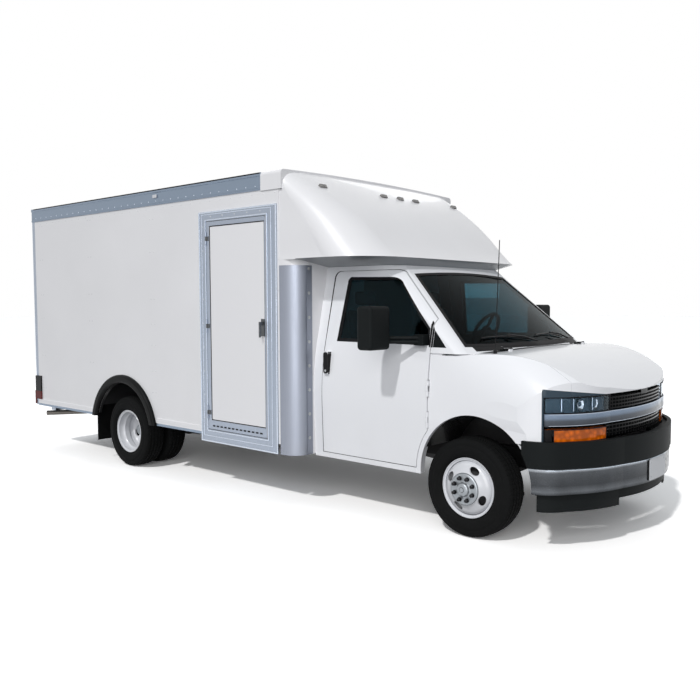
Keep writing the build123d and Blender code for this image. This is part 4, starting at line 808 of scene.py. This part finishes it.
HUB_COVER = (
    (975.5, 20.0), (975.5, 117.0), (981.0, 116.0), (987.0, 110.0), (989.0, 102.0), (988.0, 60.0),
    (992.0, 52.0), (1006.0, 47.0), (1012.0, 40.0), (1013.5, 20.0),
)
BRAKE = ((851.0, 20.0), (851.0, 150.0), (885.0, 158.0), (890.0, 140.0), (965.0, 100.0), (965.0, 20.0))
REAR_HUB = (
    (861.0, 15.0), (861.0, 98.0), (932.0, 98.0), (936.0, 92.0), (936.0, 58.0), (1010.0, 52.0),
    (1020.0, 46.0), (1024.0, 15.0),
)
FRONT_DISH_Y = 975.0
REAR_DISHES = ((918.0, -1.0), (917.0, 1.0))
NUT_RING = 82.5


def tyre_rows(centre):
    """A tyre's closed (y, r) outline with its round grooves."""
    depth = sizes().tread_depth * 1000.0
    rows = list(TYRE_HALF)
    for edge in GROOVES:
        crown = CROWN - (edge / 88.0) ** 2 * 5.0
        rows += [(edge + 6.0, crown - 0.5), (edge + 4.5, crown - depth), (edge - 4.5, crown - depth),
                 (edge - 6.0, crown)]
    rows += [(0.0, 361.9)]
    rows += [(-y, r) for y, r in reversed(rows[:-1])]
    return [(centre + y, r) for y, r in rows]


def spun(loops, x, side, steps=96):
    """A mesh of closed (y, r) loops, in millimetres, spun round the axle at x."""
    bm = bmesh.new()
    for rows in loops:
        add_spin(bm, [at(x, side * y, AXLE_Z + r) for y, r in rows], at(x, 0.0, AXLE_Z),
                 (0.0, 1.0, 0.0), steps)
    return bm


def dish_holes(x, y_low, y_high, side, first):
    """Cutter for the four oval hand holes, the first at an angle in degrees."""
    bm = bmesh.new()
    for index in range(4):
        angle = math.radians(first + 90.0 * index)
        centre = at(x, side * (y_low + y_high) / 2, AXLE_Z)
        radial = Vector((math.cos(angle), 0.0, math.sin(angle)))
        along = Vector((-math.sin(angle), 0.0, math.cos(angle)))
        deep = Vector((0.0, 1.0, 0.0)) * (y_high - y_low) / 1000.0
        basis = Matrix((radial * 0.026, along * 0.041, deep)).transposed()
        matrix = Matrix.Translation(centre + radial * 0.150) @ basis.to_4x4()
        bmesh.ops.create_cone(bm, cap_ends=True, segments=28, radius1=1.0, radius2=1.0, depth=1.0,
                              matrix=matrix)
    return bm


def wheel_nuts(x, y, side, length):
    """A ring of eight nuts on their washers."""
    bm = bmesh.new()
    out = Vector((0.0, side, 0.0))
    for index in range(8):
        angle = math.radians(22.5 + 45.0 * index)
        base = at(x + NUT_RING * math.cos(angle), side * y, AXLE_Z + NUT_RING * math.sin(angle))
        add_rod(bm, base, base + out * 0.004, 0.0165, 18)
        add_rod(bm, base, base + out * length, 0.0135, 6)
        add_rod(bm, base + out * length, base + out * (length + 0.004), 0.0115, 12, 0.006)
    return bm


def wheel_part(name, bm, finish, body, smooth=40.0):
    piece(name, bm, finish, body, smooth)


class TRUCK_OT_tyres(bpy.types.Operator):
    """Six road tyres with grooved treads"""
    bl_idname = "truck.tyres"
    bl_label = "Tyres"

    def execute(self, context):
        FINISHES["tyre_front"] = tyre_finish("Front tyre rubber", at(0.0, 0.0, AXLE_Z))
        FINISHES["tyre_rear"] = tyre_finish("Rear tyre rubber", at(-WHEELBASE, 0.0, AXLE_Z))
        for label, side in SIDES:
            made = piece(f"road_tyre_front_{label}", spun([tyre_rows(FRONT_Y)], 0.0, side), "tyre_front",
                         f"wheel_front_{label}", 50.0)
            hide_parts(f"tyre_front_{label}")
            made = piece(f"road_tyres_rear_{label}", spun([tyre_rows(y) for y in TWIN_Y], -WHEELBASE, side),
                         "tyre_rear", f"wheel_rear_{label}", 50.0)
            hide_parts(f"tyres_rear_{label}")
        return {"FINISHED"}


class TRUCK_OT_wheels(bpy.types.Operator):
    """Pressed steel wheels with hand holes, hubs and nuts"""
    bl_idname = "truck.wheels"
    bl_label = "Wheels"

    def execute(self, context):
        for label, side in SIDES:
            body = f"wheel_front_{label}"
            mesh = carved(spun([[(FRONT_DISH_Y + y, r) for y, r in DISH]], 0.0, side),
                          dish_holes(0.0, 880.0, 990.0, side, 63.0))
            disc = from_mesh(f"wheel_disc_front_{label}", mesh, "wheel", body, 40.0)
            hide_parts(f"rim_front_{label}")
            bm = spun([[(FRONT_Y + y, r) for y, r in BARREL]], 0.0, side)
            wheel_part(f"wheel_rim_front_{label}", bm, "wheel", body)
            bm = spun([HUB_COVER], 0.0, side, 64)
            bmesh.ops.contextual_create(bm, geom=[e for e in bm.edges if e.is_boundary])
            add_rod(bm, at(0, side * 976, AXLE_Z), at(0, side * 1015, AXLE_Z), 0.021, 32, 0.017)
            wheel_part(f"hub_cover_front_{label}", bm, "hub", body)
            wheel_part(f"wheel_nuts_front_{label}", wheel_nuts(0.0, 987.0, side, 0.024), "nut", body, 30.0)
            wheel_part(f"brake_front_{label}", spun([BRAKE], 0.0, side, 48), "casting", body)
            body = f"wheel_rear_{label}"
            mesh = carved(spun([[(face - turn * y, r) for y, r in DISH] for face, turn in REAR_DISHES],
                               -WHEELBASE, side),
                          dish_holes(-WHEELBASE, 820.0, 1010.0, side, 20.0))
            disc = from_mesh(f"wheel_discs_rear_{label}", mesh, "wheel", body, 40.0)
            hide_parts(f"rims_rear_{label}")
            bm = spun([[(y + a, r) for a, r in BARREL] for y in TWIN_Y], -WHEELBASE, side)
            wheel_part(f"wheel_rims_rear_{label}", bm, "wheel", body)
            bm = spun([REAR_HUB], -WHEELBASE, side, 48)
            add_rod(bm, at(-WHEELBASE, side * 862, AXLE_Z), at(-WHEELBASE, side * 1026, AXLE_Z), 0.018, 24)
            wheel_part(f"hub_rear_{label}", bm, "hub", body)
            bm = wheel_nuts(-WHEELBASE, 933.0, side, 0.022)
            wheel_part(f"wheel_nuts_rear_{label}", bm, "nut", body, 30.0)
        return {"FINISHED"}


# ------------------------------------------------------------------ lamps and face
BROW_IN = 500.0
BROW_OUT = 930.0
BROW_RISE = 50.0
BOWL = (
    (6.0, 8.0), (10.0, 26.0), (20.0, 44.0), (36.0, 58.0), (38.0, 58.0), (22.0, 45.0), (12.0, 27.0),
    (8.0, 8.0),
)
BOWLS_AT = ((590.0, 776.0), (716.0, 734.0))
BOWL_Z = 1006.0
LAMP_BARS = ((842.0, 5.0), (640.0, 3.0), (774.0, 3.0))
SIGNAL_END = 0.884
SEAL_PROUD = 0.004


def outward_face(face):
    """Whether a face of a lamp looks ahead, or out at the vehicle's side."""
    return face.normal.x > 0.25 or abs(face.normal.y) > 0.75 and face.calc_center_median().x < at(730, 0, 0).x


def seal_of(node, name, body, width, outward):
    """A rubber strip round the outer face of a pane or lamp."""
    bm = node_bmesh(node)
    keep_faces(bm, outward)
    bmesh.ops.dissolve_limit(bm, angle_limit=math.radians(1.0), verts=bm.verts, edges=bm.edges)
    inner = bmesh.ops.inset_region(bm, faces=bm.faces[:], thickness=width, use_even_offset=True,
                                   use_boundary=True)
    ring = set(inner["faces"])
    keep_faces(bm, lambda f: f in ring)
    thickened(bm, -SEAL_PROUD)
    piece(name, bm, "seal", body, 40.0)


def brow(node, name, body, side):
    """The dark upper part of a headlamp, laid on the sheet above it and rising towards its outer end."""
    bm = node_bmesh(node)
    slope = BROW_RISE / (BROW_OUT - BROW_IN)
    slice_off(bm, at(0.0, side * BROW_IN, 1060.0), Vector((0.0, side, 0.0)))
    slice_off(bm, at(585.0, 0.0, 0.0), AHEAD)
    slice_off(bm, at(0.0, side * BROW_IN, 1064.0), Vector((0.0, side * slope, -1.0)).normalized())
    keep_faces(bm, lambda f: f.normal.x > 0.12 or f.normal.y * side > 0.5)
    thickened(bm, -0.0035)
    piece(name, bm, "brow", body, 40.0)


class TRUCK_OT_lamps(bpy.types.Operator):
    """Headlamps with reflector bowls behind a clear lens, and their surrounds"""
    bl_idname = "truck.lamps"
    bl_label = "Headlamps"

    def execute(self, context):
        bm = node_bmesh("headlamps")
        keep_faces(bm, outward_face)
        back = bm.copy()
        thickened(bm, 0.003)
        lens = piece("headlamp_lens", bm, "lens", "chassis")
        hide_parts("headlamps")
        for vert in back.verts:
            vert.co.x -= 0.048
            vert.co.y *= 0.985
        thickened(back, 0.004)
        piece("headlamp_back", back, "lamp_back", "chassis")
        bowls = bmesh.new()
        bars = bmesh.new()
        face = surface("headlamps")
        for side in (-1.0, 1.0):
            for y, x in BOWLS_AT:
                add_spin(bowls, [at(x - 14 + a * 0.9, side * y, BOWL_Z + b * 0.74) for a, b in BOWL],
                         at(x, side * y, BOWL_Z), AHEAD, 32)
            for y, wide in LAMP_BARS:
                low, high = [face_at(face, side * y, z) + BACK * 0.012 for z in (966.0, 1050.0)]
                add_rod(bars, low, high, wide / 1000.0, 12)
        piece("headlamp_bowls", bowls, "reflector", "chassis", 40.0)
        piece("headlamp_bars", bars, "bright", "chassis", 40.0)
        seal_of("headlamps", "headlamp_surrounds", "chassis", 0.007, outward_face)
        seal_of("turn_signals", "signal_surrounds", "chassis", 0.005, outward_face)
        for label, side in SIDES:
            brow(f"wing_{label}", f"headlamp_brow_{label}", "chassis", side)
            brow("hood", f"hood_lamp_trim_{label}", "hood_panel", side)
        ends = []
        for side in (-1.0, 1.0):
            half = node_bmesh("turn_signals")
            keep_faces(half, outward_face)
            slice_off(half, Vector((0.0, side * SIGNAL_END, 0.0)), Vector((0.0, side, 0.0)))
            ends.append(half)
        bm = joined(ends)
        thickened(bm, -0.006)
        piece("signal_ends", bm, "seal", "chassis", 40.0)
        return {"FINISHED"}


GRILLE_RIBS = 26
RIB_ROWS = ((957.0, 1045.0, 466.0, 964.0), (762.0, 853.0, 500.0, 768.0))
EDGE_STEPS = 48
BRIGHT_EDGES = (
    ("bar_edges", "grille", (871.0, 947.0), 905.0, 0.0022, 918.0),
    ("bumper_edge", "bumper_front", (580.0,), 0.0, 0.004, 960.0),
)


def spread(half, count):
    """Evenly spaced values from -half to half."""
    return [-half + 2.0 * half * index / count for index in range(count + 1)]


class TRUCK_OT_face(bpy.types.Operator):
    """Cross ribs in the grille, bright edges and a blank number plate"""
    bl_idname = "truck.face"
    bl_label = "Face"

    def execute(self, context):
        grille = surface("grille")
        bm = bmesh.new()
        for low, high, half, probe in RIB_ROWS:
            for y in spread(half, GRILLE_RIBS):
                face = face_at(grille, y, probe).x
                add_box(bm, Vector((face - 0.045, y / 1000.0 - 0.003, low / 1000.0)),
                        Vector((face - 0.006, y / 1000.0 + 0.003, high / 1000.0)))
        piece("grille_ribs", bm, "smooth_trim", "chassis", 0.0)
        for name, node, heights, probe, radius, half in BRIGHT_EDGES:
            tree = surface(node)
            bm = bmesh.new()
            for z in heights:
                run = [Vector((face_at(tree, y, probe or z - 4.0).x - radius * 0.4, y / 1000.0, z / 1000.0))
                       for y in spread(half, EDGE_STEPS)]
                add_path(bm, run, radius)
            piece(name, bm, "bright", "chassis", 60.0)
        face = face_at(surface("bumper_front"), 150.0, 500.0).x
        bm = bmesh.new()
        add_box(bm, Vector((face + 0.008, -0.152, 0.424)), Vector((face + 0.0105, 0.152, 0.578)))
        rounded(bm, edges_along(bm, 0, 0.001), 0.012, 4)
        piece("blank_plate", bm, "plate", "chassis")
        bm = bmesh.new()
        add_box(bm, Vector((face - 0.006, -0.158, 0.432)), Vector((face + 0.0078, 0.158, 0.571)))
        piece("plate_holder", bm, "smooth_trim", "chassis", bevel=0.003)
        bm = bmesh.new()
        for y in (-0.120, 0.120):
            for z in (0.450, 0.552):
                add_dome(bm, Vector((face + 0.0103, y, z)), AHEAD, 0.006, 0.0025)
        piece("plate_screws", bm, "zinc", "chassis")
        return {"FINISHED"}


# ------------------------------------------------------------------ glazing and trim
APRON_WIDE = 1620.0
APRON_Z = (1338.0, 1384.0)


class TRUCK_OT_glazing(bpy.types.Operator):
    """Rubber seals round the panes, and the strip at the windscreen's foot"""
    bl_idname = "truck.glazing"
    bl_label = "Glazing"

    def execute(self, context):
        for label, side in SIDES:
            seal_of(f"door_glass_{label}", f"door_seal_{label}", f"door_cab_{label}", 0.026,
                    lambda f, s=side: f.normal.y * s > 0.5)
        cab = surface("cab_shell")
        screen = surface("windshield")
        bm = bmesh.new()
        bmesh.ops.create_grid(bm, x_segments=40, y_segments=4, size=0.5)
        above = {}
        for vert in sorted(bm.verts, key=lambda v: -v.co.y):
            y = vert.co.x * APRON_WIDE
            z = APRON_Z[0] + (vert.co.y + 0.5) * (APRON_Z[1] - APRON_Z[0])
            spots = [tree.ray_cast(at(900.0, y, z), BACK)[0] for tree in (cab, screen)]
            spots = [spot.x for spot in spots if spot is not None]
            above[round(y)] = max(spots) if spots else above[round(y)]
            vert.co = Vector((above[round(y)] + 0.003, y / 1000.0, z / 1000.0))
        thickened(bm, 0.003)
        piece("screen_apron", bm, "seal", "chassis")
        seal_of("windshield", "windshield_seal", "chassis", 0.030,
                lambda f: f.normal.x > 0.3 and f.normal.z > 0.1)
        return {"FINISHED"}


GRIP_Y = 1009.0
GRIP_ROWS = ((-1365.0, 1110.0), (-1311.0, 1110.0), (-1311.0, 1288.0), (-1365.0, 1288.0))
WINDOW_CORNER = ((-336.0, 1364.0), (-324.0, 1364.0), (-324.0, 1540.0), (-341.0, 1556.0))
CORNER_JAMB = ((-316.5, 1362.0), (-304.0, 1362.0), (-304.0, 1494.0), (-316.5, 1514.0))
MIRROR_Y = 1245.0
WIPERS = ((-60.0, (-90.0, 1392.0), (-650.0, 1418.0)), (560.0, (520.0, 1392.0), (40.0, 1420.0)))
WIPER_STEPS = 12


class TRUCK_OT_doors(bpy.types.Operator):
    """Handles, mirror glass, window corners and wipers"""
    bl_idname = "truck.doors"
    bl_label = "Cab doors"

    def execute(self, context):
        cab = surface("cab_shell")
        for label, side in SIDES:
            body = f"door_cab_{label}"
            bm = bmesh.new()
            low, high = [[bm.verts.new(at(x, side * y, z)) for x, z in GRIP_ROWS] for y in (958.0, GRIP_Y)]
            bm.faces.new(low)
            bm.faces.new(high)
            for index in range(4):
                after = (index + 1) % 4
                bm.faces.new((low[index], low[after], high[after], high[index]))
            rounded(bm, edges_along(bm, 1, 0.01), 0.022, 6)
            piece(f"door_handle_{label}", bm, "smooth_trim", body, bevel=0.005)
            bm = bmesh.new()
            spot = at(-1338.0, side * GRIP_Y, 1136.0)
            add_rod(bm, spot, spot + Vector((0.0, side * 0.0015, 0.0)), 0.010, 24)
            piece(f"door_lock_{label}", bm, "zinc", body)
            bm = laid_patch(surface(f"cab_door_{label}"), WINDOW_CORNER, side, 0.0035)
            piece(f"window_corner_{label}", bm, "seal", body)
            bm = laid_patch(cab, CORNER_JAMB, side, 0.003)
            piece(f"corner_jamb_{label}", bm, "seal", "chassis")
            bm = bmesh.new()
            middle = side * MIRROR_Y
            add_box(bm, at(-692.5, middle - 92.0, 1372.0), at(-689.0, middle + 92.0, 1640.0))
            rounded(bm, edges_along(bm, 0, 0.001), 0.03, 5)
            piece(f"mirror_glass_{label}", bm, "mirror", body)
        screen = surface("windshield")
        bm = bmesh.new()
        for pivot, foot, tip in WIPERS:
            run = []
            for index in range(WIPER_STEPS + 1):
                share = index / WIPER_STEPS
                y = foot[0] + (tip[0] - foot[0]) * share
                z = foot[1] + (tip[1] - foot[1]) * share + 16.0 * math.sin(math.pi * share)
                spot, normal = struck(screen, at(900.0, y, z), BACK)
                run.append(spot + (normal if normal.x > 0 else -normal) * 0.010)
            add_path(bm, run, 0.0055)
            middle = run[WIPER_STEPS // 2] + Vector((0.012, 0.0, 0.014))
            start = run[0] + Vector((0.035, 0.0, -0.012))
            start.y = pivot / 1000.0
            add_path(bm, [start, (start + middle) / 2 + Vector((0.012, 0.0, 0.008)), middle], 0.0065)
        piece("wipers", bm, "smooth_trim", "chassis", 40.0)
        return {"FINISHED"}


# ------------------------------------------------------------------ the box's hardware
WALL_RIVETS = (
    (-5700.0, (2564.0, 2181.0, 1780.0, 1513.0, 1081.0, 700.0)),
    (-4640.0, (2564.0, 2175.0, 1780.0, 1494.0, 1052.0)),
    (-3485.0, (2495.0, 2179.0, 1726.0, 1482.0, 1277.0, 1021.0, 814.0)),
)
FRONT_RIVETS = (2282.0, 2046.0, 1790.0, 1540.0, 1290.0, 1040.0, 790.0, 600.0)
FRAME_Y = 1202.0
FRAME_LIPS = (
    ((-2729.0, -1700.0, 430.0, 2500.0), 13.0, 4.0),
    ((-2690.0, -1762.0, 482.0, 2478.0), 7.0, 3.0),
    ((-2640.0, -1812.0, 528.0, 2430.0), 9.0, 4.5),
)
LEAF = (-2622.0, -1836.0, 548.0, 2409.0)


class TRUCK_OT_hardware(bpy.types.Operator):
    """Rivets, bolts, door gaskets and small fittings of the box"""
    bl_idname = "truck.hardware"
    bl_label = "Box hardware"

    def execute(self, context):
        head = sizes().rivet
        walls, rivets, lips, bolts, flanges, markers = [bmesh.new() for _ in range(6)]
        for side in (-1.0, 1.0):
            out = Vector((0.0, side, 0.0))
            for x, heights in WALL_RIVETS:
                for z in heights:
                    for step in (-28.0, 28.0):
                        add_dome(walls, at(x + step, side * BOX_HALF, z), out, head, 0.003)
            for index in range(30):
                add_dome(walls, at(-5840.0 + index * 142.0, side * BOX_HALF, 2592.0), out, head * 0.8, 0.0025)
            for z in FRONT_RIVETS:
                add_dome(walls, at(-1690.0, side * BOX_HALF, z), out, head * 0.8, 0.0025)
            for index in range(33):
                spot = at(-5800.0 + index * 120.0, side * (BOX_HALF + 4.0), 2662.0)
                add_dome(rivets, spot, out, head * 0.75, 0.003)
            # Painted shadow: a thin black strip along the top edge of each roof rail stands for the shade at
            # its lip.
            near, far = sorted((side * (BOX_HALF + 9.5), side * (BOX_HALF + 11.0)))
            add_box(lips, at(-5840.0, near, 2760.0), at(-1895.0, far, 2770.5))
            for index in range(8):
                spot = at(-1488.0, side * 1042.0, 571.0 + 199.5 * index)
                add_rod(bolts, spot, spot + AHEAD * 0.002, 0.014, 16)
                add_rod(bolts, spot, spot + AHEAD * 0.008, 0.008, 6)
            near, far = sorted((side * 1006.0, side * 1068.0))
            add_box(flanges, at(-1489.9, near, 432.0), at(-1487.8, far, 1994.0))
            middle = side * 1203.0
            add_box(markers, at(-3440.0, middle - 5.0, 2690.0), at(-3376.0, middle + 5.0, 2722.0))
        piece("wall_rivets", walls, "rivet", "chassis")
        piece("rail_rivets", rivets, "lip", "chassis")
        piece("rail_painted_shadow_strip", lips, "seal", "chassis", 0.0)
        piece("post_bolts", bolts, "zinc", "chassis")
        piece("post_flanges", flanges, "post", "chassis", 0.0)
        bm = bmesh.new()
        spots = [(x, 640.0 + 216.0 * index) for x in (-2676.0, -1768.0) for index in range(9)]
        spots += [(-2560.0 + 165.0 * index, 2454.0) for index in range(5)]
        for x, z in spots:
            add_dome(bm, at(x, -FRAME_Y, z), Vector((0.0, -1.0, 0.0)), head * 0.9, 0.003)
        piece("frame_rivets", bm, "zinc", "chassis")
        # The frame's rims take the lighter aluminium, a painted highlight.
        lips = [frame_ring(edge, shrunk(edge, wide, wide, wide, wide), FRAME_Y - 0.5, rise + 0.5, -1.0)
                for edge, wide, rise in FRAME_LIPS]
        piece("frame_lips", joined(lips), "lip", "chassis", bevel=0.0015)
        leaf_edge = shrunk(LEAF, 1.0, 1.0, 1.0, 1.0)
        bm = frame_ring(shrunk(LEAF, -5.0, -5.0, -5.0, -5.0), leaf_edge, 1184.0, 6.0, -1.0)
        piece("door_gasket", bm, "seal", "chassis")
        bm = frame_ring(leaf_edge, shrunk(LEAF, 42.0, 10.0, 82.0, 37.0), FRAME_Y, 2.5, -1.0)
        piece("door_edging", bm, "rail_z", "door_side", bevel=0.001)
        bm = frame_ring(shrunk(LEAF, 43.0, 11.0, 83.0, 38.0), shrunk(LEAF, 50.0, 17.0, 90.0, 45.0),
                        1198.5, 3.0, -1.0)
        piece("door_beading", bm, "seal", "door_side")
        # Painted shade: thin dark strips along the foot of the side door stand for the shade in its kick
        # slots.
        bm = bmesh.new()
        for index in range(13):
            x = LEAF[0] + 62.0 + index * 53.0
            add_box(bm, at(x, -FRAME_Y - 3.4, LEAF[2] + 26.0), at(x + 34.0, -FRAME_Y - 2.0, LEAF[2] + 40.0))
        piece("kick_slot_shadows", bm, "seal", "door_side", 0.0)
        piece("rail_markers", markers, "plate", "chassis", bevel=0.004)
        return {"FINISHED"}


# ------------------------------------------------------------------ cabin
SEAT_Y = (245.0, 715.0)
SEAT_MIDDLE = 480.0
CUSHION_ROWS = (
    (-785.0, 1000.0), (-800.0, 1045.0), (-1180.0, 1020.0), (-1270.0, 1030.0), (-1285.0, 975.0),
    (-800.0, 945.0),
)
BACKREST_ROWS = (
    (-1215.0, 1060.0), (-1315.0, 1600.0), (-1335.0, 1640.0), (-1385.0, 1640.0), (-1300.0, 1045.0),
)
HEADREST_ROWS = ((-1322.0, 1665.0), (-1338.0, 1785.0), (-1395.0, 1785.0), (-1388.0, 1665.0))
VOXEL = 0.016
CLOTH_STEPS = 18
CHANNEL_WIDE = 0.02
CHANNEL_DEEP = 0.009


def settle(obj):
    """Apply an object's modifiers to its mesh."""
    mesh = evaluated_mesh(obj)
    obj.modifiers.clear()
    old = obj.data
    obj.data = mesh
    bpy.data.meshes.remove(old)


def cushion(name, rows, y_low, y_high, limit, channels):
    """A stuffed seat pad: an extruded outline swollen as cloth up to a limit, then given sewn channels."""
    bm = bmesh.new()
    bm.faces.new([bm.verts.new(at(x, y_low, z)) for x, z in rows])
    drawn_out(bm, y_high - y_low)
    bmesh.ops.recalc_face_normals(bm, faces=bm.faces)
    rounded(bm, bm.edges[:], 0.022, 3)
    obj = piece(name, bm, "cloth", "chassis", 0.0)
    mod = obj.modifiers.new("Skin", "REMESH")
    mod.mode = "VOXEL"
    mod.voxel_size = VOXEL
    settle(obj)
    rest = [vert.co.copy() for vert in obj.data.vertices]
    mod = obj.modifiers.new("Stuffing", "CLOTH")
    mod.settings.use_pressure = True
    mod.settings.uniform_pressure_force = 4.0
    mod.settings.effector_weights.gravity = 0.0
    for step in range(1, CLOTH_STEPS + 1):
        bpy.context.scene.frame_set(step)
    settle(obj)
    for vert, start in zip(obj.data.vertices, rest):
        move = vert.co - start
        if move.length > limit:
            vert.co = start + move * (limit / move.length)
    bpy.context.scene.frame_set(1)
    middle = (y_low + y_high) / 2000.0
    for vert in obj.data.vertices:
        for offset in channels:
            near = abs(vert.co.y - middle - offset)
            if near < CHANNEL_WIDE:
                vert.co -= vert.normal * CHANNEL_DEEP * (1.0 - near / CHANNEL_WIDE)
    obj.data.shade_smooth()
    mod = obj.modifiers.new("Round", "SUBSURF")
    mod.levels = 1
    mod.render_levels = 1
    return obj


class TRUCK_OT_cabin(bpy.types.Operator):
    """Two stuffed seats on their boxes"""
    bl_idname = "truck.cabin"
    bl_label = "Cabin"

    def execute(self, context):
        bases = bmesh.new()
        for label, side in SIDES:
            low, high = sorted(side * y for y in SEAT_Y)
            pad = cushion(f"seat_cushion_{label}", CUSHION_ROWS, low, high, 0.014, (-0.12, 0.12))
            cushion(f"seat_back_{label}", BACKREST_ROWS, low, high, 0.014, (-0.13, 0.13))
            cushion(f"headrest_{label}", HEADREST_ROWS, low + 115.0, high - 115.0, 0.010, ())
            if side > 0:
                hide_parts("seats")
            middle = side * SEAT_MIDDLE
            add_box(bases, at(-1250.0, middle - 215.0, 676.5), at(-805.0, middle + 215.0, 925.0))
            for y in (middle - 45.0, middle + 45.0):
                add_rod(bases, at(-1345.0, y, 1600.0), at(-1356.0, y, 1690.0), 0.006, 12)
        piece("seat_boxes", bases, "interior", "chassis", bevel=0.006)
        return {"FINISHED"}


# ------------------------------------------------------------------ studio
CAMERA_AT = Vector((5.4709, -5.5083, 1.6993))
CAMERA_YAW = 2.2722
CAMERA_PITCH = -0.0613
CAMERA_ROLL = -0.0015
CAMERA_SHIFT = (-0.03836, -0.0021)
CAMERA_LENS = 39.508
LIGHTS = (
    ("key", "SUN", (0.14, -0.68, 0.72), 1.55, 0.05),
    ("fill", "AREA", (0.58, -0.76, 0.29), 640.0, 8.0),
    ("rear", "AREA", (-0.60, 0.68, 0.42), 430.0, 9.0),
)
LIGHT_REACH = 14.0
WHITE = (1.0, 1.0, 1.0, 1.0)


def background_rays(tree):
    """1 on rays that show the background: seen straight, in metal or through glass."""
    path = put(tree, "LightPath", {})
    first = maths(tree, "MAXIMUM", path["Is Camera Ray"], path["Is Glossy Ray"])
    return maths(tree, "MAXIMUM", first, path["Is Transmission Ray"])


def add_object(name, data):
    """A new object in the scene."""
    obj = bpy.data.objects.new(name, data)
    bpy.context.scene.collection.objects.link(obj)
    return obj


def make_floor():
    """A floor that is white behind the truck and dull grey to the light."""
    bm = bmesh.new()
    bmesh.ops.create_grid(bm, x_segments=1, y_segments=1, size=sizes().floor / 2)
    mesh = bpy.data.meshes.new("studio_floor")
    bm.to_mesh(mesh)
    bm.free()
    floor = add_object("studio_floor", mesh)
    mat, tree, shader = material("Studio floor", (0.5, 0.5, 0.5), 0.9,
                                 {"Specular IOR Level": 0.0, "Emission Color": WHITE})
    seen = background_rays(tree)
    feed(tree, shader, {"Base Color": mixed(tree, seen, (0.20, 0.20, 0.21, 1.0), (1.46, 1.44, 1.42, 1.0)),
                        "Emission Strength": maths(tree, "MULTIPLY", seen, 0.04)})
    mesh.materials.append(mat)


def make_world():
    """A soft sky that shows as plain white."""
    world = bpy.data.worlds.new("Studio")
    world.use_nodes = True
    bpy.context.scene.world = world
    tree = world.node_tree
    sky = tree.nodes["Background"]
    feed(tree, sky, {"Color": (0.88, 0.94, 1.0, 1.0), "Strength": 0.34})
    plain = put(tree, "Background", {"Color": WHITE, "Strength": 1.0})
    mix = put(tree, "MixShader", {0: background_rays(tree), 1: sky.outputs[0], 2: plain[0]})
    feed(tree, tree.nodes["World Output"], {"Surface": mix[0]})


def make_lights():
    """The lamps, each aimed at the truck's middle on the ground."""
    for name, kind, toward, energy, size in LIGHTS:
        data = bpy.data.lights.new(name, kind)
        data.energy = energy
        if kind == "SUN":
            data.angle = size
        else:
            data.size = size
        lamp = add_object(name, data)
        lamp.location = Vector(toward) * LIGHT_REACH
        lamp.rotation_euler = Vector(toward).to_track_quat("Z", "Y").to_euler()


def make_camera():
    data = bpy.data.cameras.new("camera")
    data.sensor_width = 36.0
    data.lens = CAMERA_LENS
    data.shift_x, data.shift_y = CAMERA_SHIFT
    data.clip_end = 300.0
    camera = add_object("camera", data)
    yaw, pitch, roll = CAMERA_YAW, CAMERA_PITCH, CAMERA_ROLL
    ahead = Vector((math.cos(yaw) * math.cos(pitch), math.sin(yaw) * math.cos(pitch), math.sin(pitch)))
    right = Vector((math.sin(yaw), -math.cos(yaw), 0.0))
    up = right.cross(ahead)
    tilted = right * math.cos(roll) + up * math.sin(roll)
    upright = up * math.cos(roll) - right * math.sin(roll)
    turn = Matrix((tilted, upright, -ahead)).transposed().to_4x4()
    camera.matrix_world = Matrix.Translation(CAMERA_AT) @ turn
    bpy.context.scene.camera = camera


class TRUCK_OT_stage(bpy.types.Operator):
    """Pale floor, soft lights and the camera"""
    bl_idname = "truck.stage"
    bl_label = "Studio"

    def execute(self, context):
        context.scene.view_settings.view_transform = "Standard"
        make_floor()
        make_world()
        make_lights()
        make_camera()
        return {"FINISHED"}


class TRUCK_PT_panel(bpy.types.Panel):
    """Lists the truck's steps and settings"""
    bl_idname = "TRUCK_PT_panel"
    bl_label = "Box truck"
    bl_space_type = "VIEW_3D"
    bl_region_type = "UI"
    bl_category = "Truck"

    def draw(self, context):
        for group in (context.scene.truck_colours, context.scene.truck_sizes):
            for key in group.__annotations__:
                self.layout.prop(group, key)
        for step in STEPS:
            self.layout.operator(step.bl_idname)


STEPS = (
    TRUCK_OT_finishes, TRUCK_OT_tyres, TRUCK_OT_wheels, TRUCK_OT_lamps, TRUCK_OT_face, TRUCK_OT_glazing,
    TRUCK_OT_doors, TRUCK_OT_hardware, TRUCK_OT_cabin, TRUCK_OT_stage,
)
CLASSES = (TruckColours, TruckSizes) + STEPS + (TRUCK_PT_panel,)


def register():
    for cls in CLASSES:
        bpy.utils.register_class(cls)
    bpy.types.Scene.truck_colours = bpy.props.PointerProperty(type=TruckColours)
    bpy.types.Scene.truck_sizes = bpy.props.PointerProperty(type=TruckSizes)


def unregister():
    del bpy.types.Scene.truck_sizes
    del bpy.types.Scene.truck_colours
    for cls in reversed(CLASSES):
        bpy.utils.unregister_class(cls)


def main():
    register()
    for step in STEPS:
        area, name = step.bl_idname.split(".")
        getattr(getattr(bpy.ops, area), name)()


if __name__ == "__main__":
    main()
